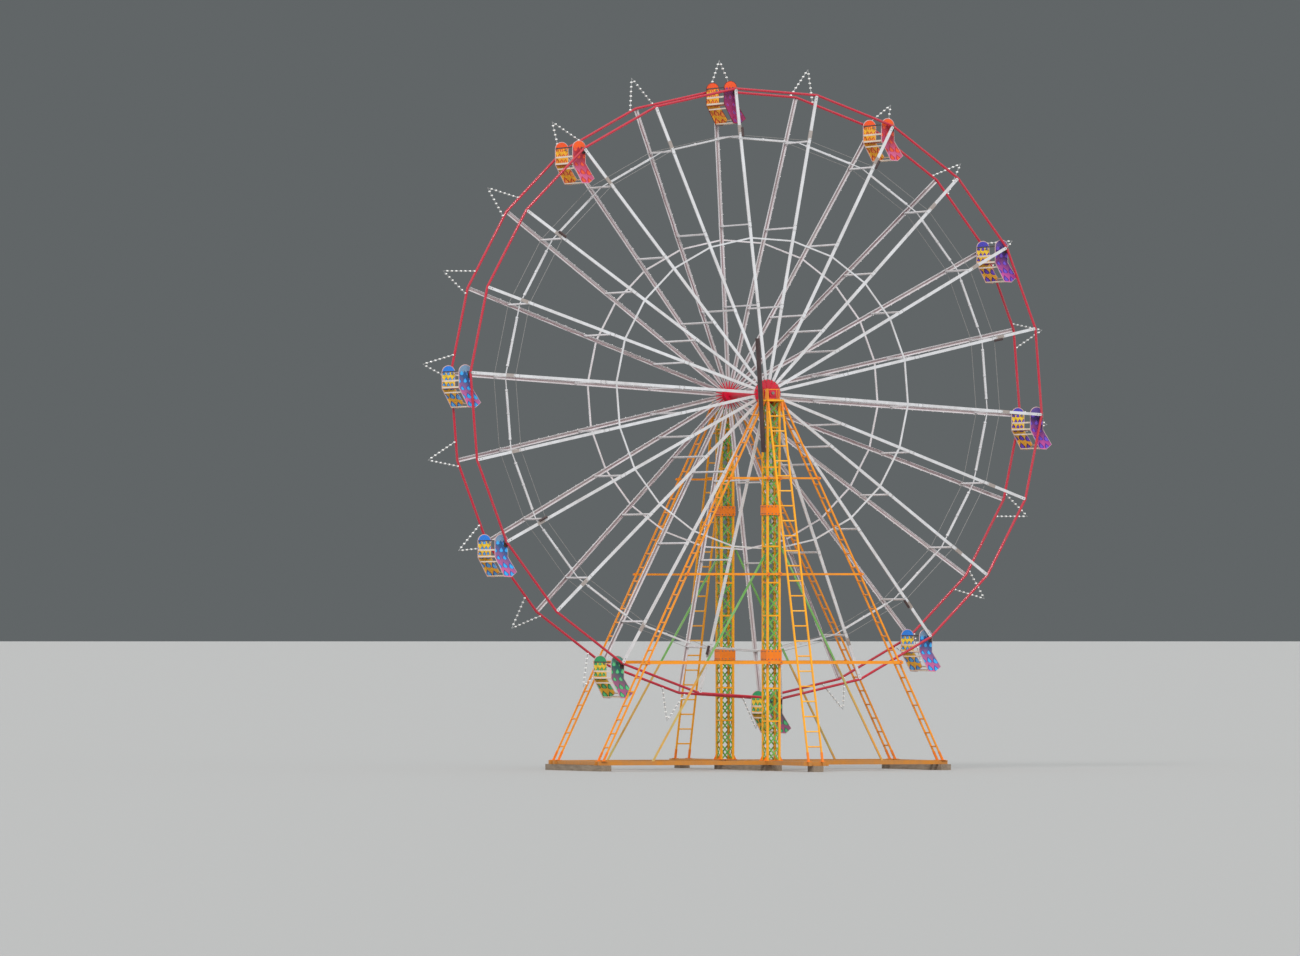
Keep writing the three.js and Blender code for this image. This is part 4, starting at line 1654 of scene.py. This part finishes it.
@dataclass
class Cabin(Assembly):
    """One hanging open cabin, built about its pivot."""

    number: int = 1
    pivot: Vector = field(default_factory=Vector)
    scheme: Scheme = Scheme.ORANGE
    panel_out: float = 0.78
    panel_t: float = 0.02
    left: float = -0.325
    right: float = 0.085
    dome_z: float = 0.025
    dome_sides: int = 20
    foot: tuple[Range, ...] = (
        (-0.325, -0.46), (-0.02, -1.045), (0.2, -1.055), (0.372, -0.91), (0.085, -0.455),
    )
    cuts: tuple[float, ...] = (-0.2, -0.3, -0.6, -0.7, -0.8, -1.0)
    edging_r: float = 0.013
    plate: tuple[Range, ...] = (
        (-0.035, -0.16), (0.075, -0.16), (0.085, -0.02), (0.05, 0.04), (-0.05, 0.04), (-0.06, -0.02),
    )
    boss_r: float = 0.042
    grab: tuple[float, float, float, float] = (-0.322, -0.292, 0.018, 0.056)
    rails: tuple[tuple[float, float, float, float], ...] = (
        (-0.322, -0.287, -0.265, -0.215),
        (-0.322, -0.287, -0.465, -0.415),
        (-0.252, -0.222, -0.612, -0.572),
        (0.055, 0.075, -0.48, -0.442),
        (0.205, 0.225, -1.048, -0.99),
        (0.33, 0.355, -0.93, -0.892),
    )
    seat: tuple[float, float, float, float] = (-0.29, 0.053, -0.472, -0.448)
    board: tuple[float, float, float, float] = (-0.015, 0.203, -1.036, -1.012)
    slat_gap: float = 0.008

    def at(self, x: float, y: float, z: float) -> Vector:
        """A point given from the pivot."""
        return self.pivot + Vector((x, y, z))

    def outline(self) -> Section:
        """Draws a side's outline.

        Returns:
            Its corners in x and z from the pivot, anticlockwise seen from the near side.
        """
        r, mid = (self.right - self.left) / 2, (self.right + self.left) / 2
        dome = circle(2 * self.dome_sides, r)[: self.dome_sides + 1]
        return [*((mid + x, self.dome_z + z) for x, z in dome), *self.foot]

    def flat_uv(self, x: float, z: float) -> tuple[float, float]:
        """Finds a pattern position on a side.

        Args:
            x: the point's x from the pivot.
            z: its z.

        Returns:
            Metres across from the left edge, following the slanting foot, and up from the foot.
        """
        (x0, z0), (x1, z1) = self.foot[:2]
        slant = max(z0 - z, 0.0) * (x1 - x0) / (z0 - z1)
        return (x - slant - self.left, z - self.foot[2][1])

    def rows(self) -> list[tuple[float, float, float]]:
        """Cuts the side into level rows, so that the pattern follows its bend.

        Returns:
            Each row's z with its left and right edge.
        """
        ring = self.outline()
        rows = []
        for z in sorted({round(z, 5) for _, z in ring} | set(self.cuts)):
            xs = []
            for (x0, z0), (x1, z1) in zip(ring, ring[1:] + ring[:1]):
                if min(z0, z1) - 1e-6 <= z <= max(z0, z1) + 1e-6:
                    level = abs(z1 - z0) < 1e-9
                    xs += [x0, x1] if level else [x0 + (x1 - x0) * (z - z0) / (z1 - z0)]
            rows.append((z, min(xs), max(xs)))
        return rows

    def panel(self, shape: Shape, s: int) -> None:
        """Adds one side panel: outer face, inner face and the wall between them.

        Args:
            shape: the cabin's shape.
            s: -1 for the near side or 1 for the far one.
        """
        rows = self.rows()
        inner = self.panel_out - self.panel_t
        for depth, slot, flip in ((self.panel_out, 0, s > 0), (inner, 1, s < 0)):
            points = [self.at(x, s * depth, z) for z, a, b in rows for x in (a, b)]
            faces, uvs = [], []
            for i, (low, high) in enumerate(zip(rows, rows[1:])):
                quad = [2 * i, 2 * i + 1, 2 * i + 3, 2 * i + 2]
                corners = ((low[1], low[0]), (low[2], low[0]), (high[2], high[0]), (high[1], high[0]))
                flat = [self.flat_uv(x, z) for x, z in corners]
                faces.append(quad[::-1] if flip else quad)
                uvs.append(flat[::-1] if flip else flat)
            shape.add(points, faces, slot, uvs)
        loop = [(b, z) for z, a, b in rows] + [(a, z) for z, a, b in reversed(rows)]
        points = [self.at(x, y, z) for y in sorted((s * self.panel_out, s * inner)) for x, z in loop]
        count = len(loop)
        walls = [(i, (i + 1) % count, count + (i + 1) % count, count + i) for i in range(count)]
        shape.add(points, walls, 2)

    def trim(self, shape: Shape, s: int) -> None:
        """A rounded edging along the outline of one side."""
        y = s * (self.panel_out - self.panel_t / 2)
        shape.pipe([self.at(x, y, z) for x, z in self.outline()], self.edging_r, 8, 2, closed=True)

    def bearing_plate(self, shape: Shape, s: int) -> None:
        """Adds a near-black hanger plate and boss where the pin passes through one side; the plate's black
        is partly painted shade round the pin.

        Args:
            shape: the cabin's shape.
            s: -1 for the near side or 1 for the far one.
        """
        start, end, boss = (self.at(0, s * (self.panel_out + y), 0) for y in (-0.004, 0.006, 0.014))
        # The plate is near black: partly a dark plate and partly painted shade round the pin.
        shape.carry(list(self.plate), start, end, X, Z, 4)
        shape.tube(self.at(0, s * self.panel_out, 0), boss, self.boss_r, 20, 6)

    def bars(self, shape: Shape) -> None:
        """The rails, the seat's slats and the foot board between the sides.

        Args:
            shape: the cabin's shape.
        """
        y = self.panel_out - self.panel_t
        bars = [(*self.grab, 4), *((*rail, 3) for rail in self.rails)]
        # The seat's slats take the dark red-brown that is partly painted shade.
        for (first, last, z0, z1), count, slot in ((self.seat, 4, 5), (self.board, 3, 3)):
            pitch = (last - first) / count
            starts = [first + pitch * i for i in range(count)]
            bars += [(x, x + pitch - self.slat_gap, z0, z1, slot) for x in starts]
        for x0, x1, z0, z1, slot in bars:
            shape.box(self.at(x0, -y, z0), self.at(x1, y, z1), slot)

    def build(self) -> None:
        """Makes the cabin as one piece that stands for its CAD node."""
        word, wear = f"cabin_{self.scheme.value}", (0.0, 0.18, 0.2, 6.0)
        outer, inner = OUTSIDES[self.scheme], INSIDES[self.scheme]
        outside = MotifPaint(
            f"{word}_outside", outer.top, outer.foot, *wear, coat_of=outer, lean=0.9, change=0.0, small=0.19
        )
        inside = MotifPaint(f"{word}_inside", inner.top, inner.foot, *wear, coat_of=inner)
        edging = TRIM_DARK if self.scheme is Scheme.ORANGE else TRIM_PINK
        shape = Shape()
        for s in (-1, 1):
            self.panel(shape, s)
            self.trim(shape, s)
            self.bearing_plate(shape, s)
        self.bars(shape)
        finishes = [outside, inside, edging, CREAM, GRAB_DARK, SEAT_RED, BOLT_STEEL]
        name = f"cabin_{self.number:02d}"
        self.keep(shape.object(f"{name}_shell", finishes), self.scheme.slot, name)


# The supports ------------------------------------------------------------------------


@dataclass
class Mast(Sided):
    """Lacing, collar skins and bolts, and the foot plate of one mast."""

    pitch: float = 0.44
    flat: float = 0.045
    flat_t: float = 0.006
    flat_step: float = 0.007
    collar_t: float = 0.006
    collar_out: float = 0.0225
    collar_bolts: tuple[float, ...] = (-0.7, -0.25, 0.25, 0.7)
    bolt_rows: Range = (-0.35, 0.35)
    bolt: Range = (0.015, 0.013)
    foot_half: float = 0.29
    foot_t: float = 0.014
    gusset: tuple[Range, ...] = ((0, 0), (0.08, 0), (0, 0.16))
    gusset_half: float = 0.005

    def build(self) -> None:
        """Makes the mast's pieces."""
        self.lacing()
        self.collars()
        self.foot()

    def lacing(self) -> None:
        """Crossed flats on the four faces, between foot and head."""
        u = SUPPORT
        y0 = self.side.value * u.mast_y
        half = u.mast_w / 2 - u.chord / 2
        face = u.mast_w / 2 - 0.01
        cells = int((u.head_z - u.sill_top) / self.pitch)
        pitch = (u.head_z - u.sill_top) / cells
        places = []
        for i in range(cells):
            low, high = u.sill_top + i * pitch, u.sill_top + (i + 1) * pitch
            for a, b, lay in ((low, high, face), (high, low, face - self.flat_step)):
                for s in (-1, 1):
                    x, y = s * lay, y0 + s * lay
                    places += [
                        between((-half, y, a), (half, y, b), Y, self.flat_t, self.flat),
                        between((x, y0 - half, a), (x, y0 + half, b), X, self.flat_t, self.flat),
                    ]
        self.stamp(self.named("mast_lacing"), unit_bar(), places, LACING_GREEN, "brace_green")

    def collars(self) -> None:
        """Skins and bolts of the splice collars."""
        y0 = self.side.value * SUPPORT.mast_y
        w, t = SUPPORT.mast_w / 2 + self.collar_out, self.collar_t / 2
        skins, bolts = Shape(), []
        for z, tall in SUPPORT.collars:
            low, high = z - tall / 2, z + tall / 2
            for s in (-1, 1):
                skins.box((-w, y0 + s * w - t, low), (w, y0 + s * w + t, high))
                skins.box((s * w - t, y0 - w, low), (s * w + t, y0 + w, high))
                face = s * (w + t)
                for x in self.collar_bolts:
                    for row in self.bolt_rows:
                        at = z + row * tall
                        bolts.append(frame_of((x * w, y0 + face, at), (0, s, 0), Z))
                        bolts.append(frame_of((face, y0 + x * w, at), (s, 0, 0), Z))
        self.keep(skins.object(self.named("collar_skins"), [COLLAR_ORANGE]), "stay_orange")
        self.stamp(self.named("collar_bolts"), hex_bolt(*self.bolt), bolts)

    def foot(self) -> None:
        """A square foot plate with gussets."""
        u, half = SUPPORT, self.foot_half
        y0 = self.side.value * u.mast_y
        shape = Shape()
        shape.box((-half, y0 - half, u.sill_top), (half, y0 + half, u.sill_top + self.foot_t))
        for sx in (-1, 1):
            for sy in (-1, 1):
                x, y = sx * u.mast_w / 2, y0 + sy * (u.mast_w / 2 - u.chord / 2)
                start, end = (Vector((x, y + t, u.sill_top)) for t in (-self.gusset_half, self.gusset_half))
                shape.carry(list(self.gusset), start, end, (sx, 0, 0), Z)
        self.keep(shape.object(self.named("mast_foot"), [COLLAR_ORANGE]), "stay_orange")


@dataclass
class LadderStay(Assembly):
    """The rungs that the plain ladder lacks, its foot shoes and end clamps."""

    name: str = ""
    finish: Finish = STAY_ORANGE
    top: Vector = field(default_factory=Vector)
    foot: Vector = field(default_factory=Vector)
    spread: Vector = field(default_factory=Vector)
    rung: float = 0.036
    shoe_half: float = 0.085
    shoe_t: float = 0.012
    clamp_run: float = 0.3
    clamp_gap: float = 0.03
    clamp_past: float = 0.012

    def build(self) -> None:
        """Makes the rungs and the shoes."""
        lean = self.top - self.foot
        count = int(lean.length / SUPPORT.rung_pitch)
        half = self.spread * (SUPPORT.stile_gap / 2)
        steps = [self.foot + lean * (i / count) for i in range(1, count)]
        places = [between(at - half, at + half, lean, self.rung, self.rung) for at in steps]
        self.stamp(f"{self.name}_rungs", unit_bar(), places, self.finish, "stay_orange")
        along, wide, shoe = lean.normalized(), SUPPORT.stile + self.clamp_past, self.shoe_half
        shoes = Shape()
        for s in (-1, 1):
            base, head = self.foot + half * s, self.top + half * s
            shoes.box(base - Vector((shoe, shoe, 0.0)), base + Vector((shoe, shoe, self.shoe_t)))
            for a, b in (
                (base, base + along * self.clamp_run),
                (head - along * self.clamp_run, head - along * self.clamp_gap),
            ):
                shoes.bar(a, b, wide, wide, self.spread)
        self.keep(shoes.object(f"{self.name}_shoes", [COLLAR_ORANGE]), "stay_orange")


@dataclass
class Ties(Sided):
    """Clamps on the level ties of one side."""

    clamp_half: float = 0.035
    clamp_t: float = 0.012
    clamp_gap: float = 0.008
    clamp_past: float = 0.01
    chord_in: float = 0.03
    bolt: Range = (0.013, 0.012)

    def build(self) -> None:
        """Makes the clamps where the ties cross the legs and the mast."""
        u, s, t, wide = SUPPORT, self.side.value, self.clamp_t, self.clamp_half
        shape, bolts = Shape(), []
        slope = (u.leg_foot_x - u.leg_top_x) / (u.head_z - u.sill_top)
        face = u.mast_y + u.stile_gap / 2 + u.stile / 2
        chord = u.mast_w / 2 - self.chord_in
        for z, w in u.ties:
            leg = u.leg_top_x + (u.head_z - z) * slope
            low, high = sorted((s * (face - self.clamp_past), s * (face + w + self.clamp_past)))
            h, end = w / 2 + self.clamp_gap, w / 2 + self.clamp_gap + self.clamp_past
            y0, y1 = sorted((s * (face + w), s * (face + w + t)))
            for x in (-leg, -chord, chord, leg):
                for a, b in ((h, h + t), (-h - t, -h)):
                    shape.box((x - wide, low, z + a), (x + wide, high, z + b))
                shape.box((x - wide, y0, z - end), (x + wide, y1, z + end))
                bolts.append(frame_of((x, s * (face + w + t), z), (0, s, 0), Z))
        self.keep(shape.object(self.named("tie_clamps"), [COLLAR_ORANGE]), "stay_orange")
        self.stamp(self.named("tie_bolts"), hex_bolt(*self.bolt), bolts)


@dataclass
class Head(Sided):
    """The bearing's foot, cheeks, bars, barrel and bolts on one mast's head."""

    base_lift: float = 0.0505
    base: tuple[float, float, float] = (0.25, 0.13, 0.03)
    cheek_y: Range = (0.085, 0.105)
    bar: tuple[Range, ...] = ((-0.2, 0.1), (0.21, 0.1), (0.21, 0.125), (-0.2, 0.125))
    bar_inset: float = 0.002
    barrel_half: float = 0.12
    barrel_r: float = 0.1
    block_half: float = 0.075
    base_bolts: Range = (0.15, 0.045)
    plate_bolts_in: float = 0.06
    plate_bolts_y: float = 0.2
    plate_t: float = 0.05
    bolt: Range = (0.018, 0.018)

    def cheeks(self, floor: float) -> dict[int, list[Section]]:
        """Draws the cheeks of the bearing.

        Args:
            floor: how high their feet stand, from the axle.

        Returns:
            The outlines by the sign of y on which they stand, the outboard ones first.
        """
        return {
            self.side.value: [
                [(-0.25, floor), (-0.1, floor), (-0.125, 0.135), (-0.215, 0.135)],
                [(0.205, floor), (0.24, floor), (0.228, 0.135), (0.205, 0.135)],
            ],
            -self.side.value: [
                [(-0.25, floor), (-0.21, floor), (-0.2, 0.11), (-0.215, 0.11)],
                [(0.21, floor), (0.24, floor), (0.22, 0.11), (0.205, 0.11)],
            ],
        }

    def build(self) -> None:
        """Makes the pieces round one bearing."""
        u, y0 = SUPPORT, self.side.value * SUPPORT.mast_y
        c = Hub.centre + deep(y0)
        low = u.head_z + self.base_lift
        floor = low - c.z
        x, y, high = self.base
        shape = Shape()
        shape.box((-x, y0 - y, low), (x, y0 + y, low + high))
        for way, sections in self.cheeks(floor).items():
            a, b = (c + deep(way * depth) for depth in self.cheek_y)
            inset = deep(way * self.bar_inset)
            for cheek in sections:
                shape.carry(cheek, a, b, X, Z)
            shape.carry(list(self.bar), a + inset, b - inset, X, Z)
        shape.tube(c - deep(self.barrel_half), c + deep(self.barrel_half), self.barrel_r, 32, 1)
        block = [(-0.085, floor), (0.085, floor), (0.045, -0.04), (-0.045, -0.04)]
        shape.carry(block, c - deep(self.block_half), c + deep(self.block_half), X, Z, 1)
        piece = shape.object(self.named("bearing_cap"), [BEARING_IRON, HUB_RED])
        self.keep(piece, "bearing_steel", self.named("bearing"))
        places = []
        for half_x, half_y, z in (
            (*self.base_bolts, low + high),
            (u.head_x - self.plate_bolts_in, self.plate_bolts_y, u.head_z + self.plate_t),
        ):
            for sx in (-1, 1):
                for sy in (-1, 1):
                    places.append(frame_of((sx * half_x, y0 + sy * half_y, z), Z, X))
        self.stamp(self.named("head_bolts"), hex_bolt(*self.bolt), places)


# The stage ---------------------------------------------------------------------------


@dataclass
class Studio:
    """Floor, light and the camera at the photograph's angle."""

    azimuth: float = -20.617
    elevation: float = -0.949
    distance: float = 415.5
    pixels_a_metre: float = 32.816
    hub_pixel: Range = (747.93, 394.16)
    picture: tuple[int, int] = (IMAGE_WIDTH, 956)
    sensor: float = 36.0
    clip: Range = (1.0, 6000.0)
    floor_r: float = 2500.0
    floor_sides: int = 64
    floor_colour: Colour = (0.42, 0.42, 0.41)
    sky_light: Colour = (0.88, 0.9, 0.92)
    sky_seen: Colour = (0.15, 0.165, 0.17)
    sky_strength: float = 0.8
    suns: tuple[tuple[str, float, float, float, float], ...] = (
        ("key", 1.9, 20.0, 48.0, -40.0),
        ("fill", 0.6, 60.0, 70.0, 10.0),
    )

    def build(self) -> None:
        """Makes the stage."""
        self.floor()
        self.light()
        self.camera()

    def floor(self) -> None:
        """A wide plain pale floor."""
        shape = Shape()
        ring = [(x, y, 0.0) for x, y in circle(self.floor_sides, self.floor_r)]
        shape.add(ring, [tuple(range(self.floor_sides))])
        plain, n, shader = new_material("studio_floor")
        n.send(shader, {"Base Color": rgba(self.floor_colour), "Roughness": 0.95})
        made = shape.object("studio_floor", [], smooth=False)
        made.data.materials.append(plain)

    def light(self) -> None:
        """A soft sun, a fill and an even pale sky."""
        world = bpy.data.worlds.new("studio")
        bpy.context.scene.world = world
        world.use_nodes = True
        n = Nodes(world.node_tree)
        seen = n.add("ShaderNodeLightPath").outputs["Is Camera Ray"]
        shade = n.mix(seen, rgba(self.sky_light), rgba(self.sky_seen))
        n.send(world.node_tree.nodes["Background"], {"Color": shade, "Strength": self.sky_strength})
        bpy.context.scene.view_settings.view_transform = "Standard"
        for name, energy, size, tilt, turn in self.suns:
            lamp = bpy.data.lights.new(name, "SUN")
            lamp.energy = energy
            lamp.angle = math.radians(size)
            stand(name, lamp).rotation_euler = (math.radians(tilt), 0, math.radians(turn))

    def camera(self) -> None:
        """The camera far off, aimed so that the hub falls where it does in the photograph."""
        a, e = math.radians(self.azimuth), math.radians(self.elevation)
        back = Vector((math.sin(a) * math.cos(e), -math.cos(a) * math.cos(e), math.sin(e)))
        right = Vector((math.cos(a), math.sin(a), 0))
        up = back.cross(right)
        data = bpy.data.cameras.new("camera")
        data.sensor_fit = "HORIZONTAL"
        data.sensor_width = self.sensor
        data.lens = self.sensor * self.pixels_a_metre * self.distance / self.picture[0]
        data.clip_start, data.clip_end = self.clip
        eye = Hub.centre + back * self.distance
        across = (self.hub_pixel[0] - self.picture[0] / 2) / self.pixels_a_metre
        high = (self.picture[1] / 2 - self.hub_pixel[1]) / self.pixels_a_metre
        target = Hub.centre - right * across - up * high
        holder = stand("camera", data)
        holder.location = eye
        holder.rotation_euler = (target - eye).to_track_quat("-Z", "Y").to_euler()
        bpy.context.scene.camera = holder


def cabin_schemes() -> list[Scheme]:
    """The paint schemes of the ten cabins in their order round the wheel."""
    o, r, b, g, v = Scheme.ORANGE, Scheme.ROSE, Scheme.BLUE, Scheme.GREEN, Scheme.VIOLET
    return [o, r, b, b, g, g, b, v, v, r]


def ladder_stays() -> list[LadderStay]:
    """Lays out the six ladder stays.

    Returns:
        The two legs and the outrigger of each side.
    """
    u = SUPPORT
    made = []
    for side in Side:
        s, y = side.value, side.value * u.mast_y
        for word, finish, top, foot, spread in (
            ("left_leg", STAY_ORANGE, (-u.leg_top_x, y), (-u.leg_foot_x, y), Y),
            ("right_leg", STAY_ORANGE, (u.leg_top_x, y), (u.leg_foot_x, y), Y),
            ("outrigger", RUNG_YELLOW, (0, s * u.out_top_y), (0, s * u.out_foot_y), X),
        ):
            ends = {"top": Vector((*top, u.head_z)), "foot": Vector((*foot, u.sill_top))}
            name = f"{side.prefix}_{word}"
            made.append(LadderStay("base", name=name, finish=finish, spread=Vector(spread), **ends))
    return made


def main() -> None:
    """Builds the stage and every sub-assembly round the frame."""
    logging.basicConfig(level=logging.INFO, format="%(message)s")
    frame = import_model()
    Hub.read(frame["joints"])
    dress(frame["nodes"])
    Studio().build()
    pivots = [Vector(j["pos_m"]) for j in frame["joints"] if j["name"] != "wheel_turn"]
    assemblies: list[Assembly] = [Rim("wheel", side=side, cabins=pivots) for side in Side]
    assemblies += [Stars("wheel"), HubSet("wheel"), SpokeTrim("wheel"), Cables("wheel")]
    for i, (pivot, scheme) in enumerate(zip(pivots, cabin_schemes()), 1):
        assemblies.append(Cabin(f"cabin_{i:02d}_body", number=i, pivot=pivot, scheme=scheme))
    for side in Side:
        assemblies += [Mast("base", side=side), Ties("base", side=side), Head("base", side=side)]
    assemblies += ladder_stays()
    for assembly in assemblies:
        assembly.build()
        assembly.report()


if __name__ == "__main__":
    main()
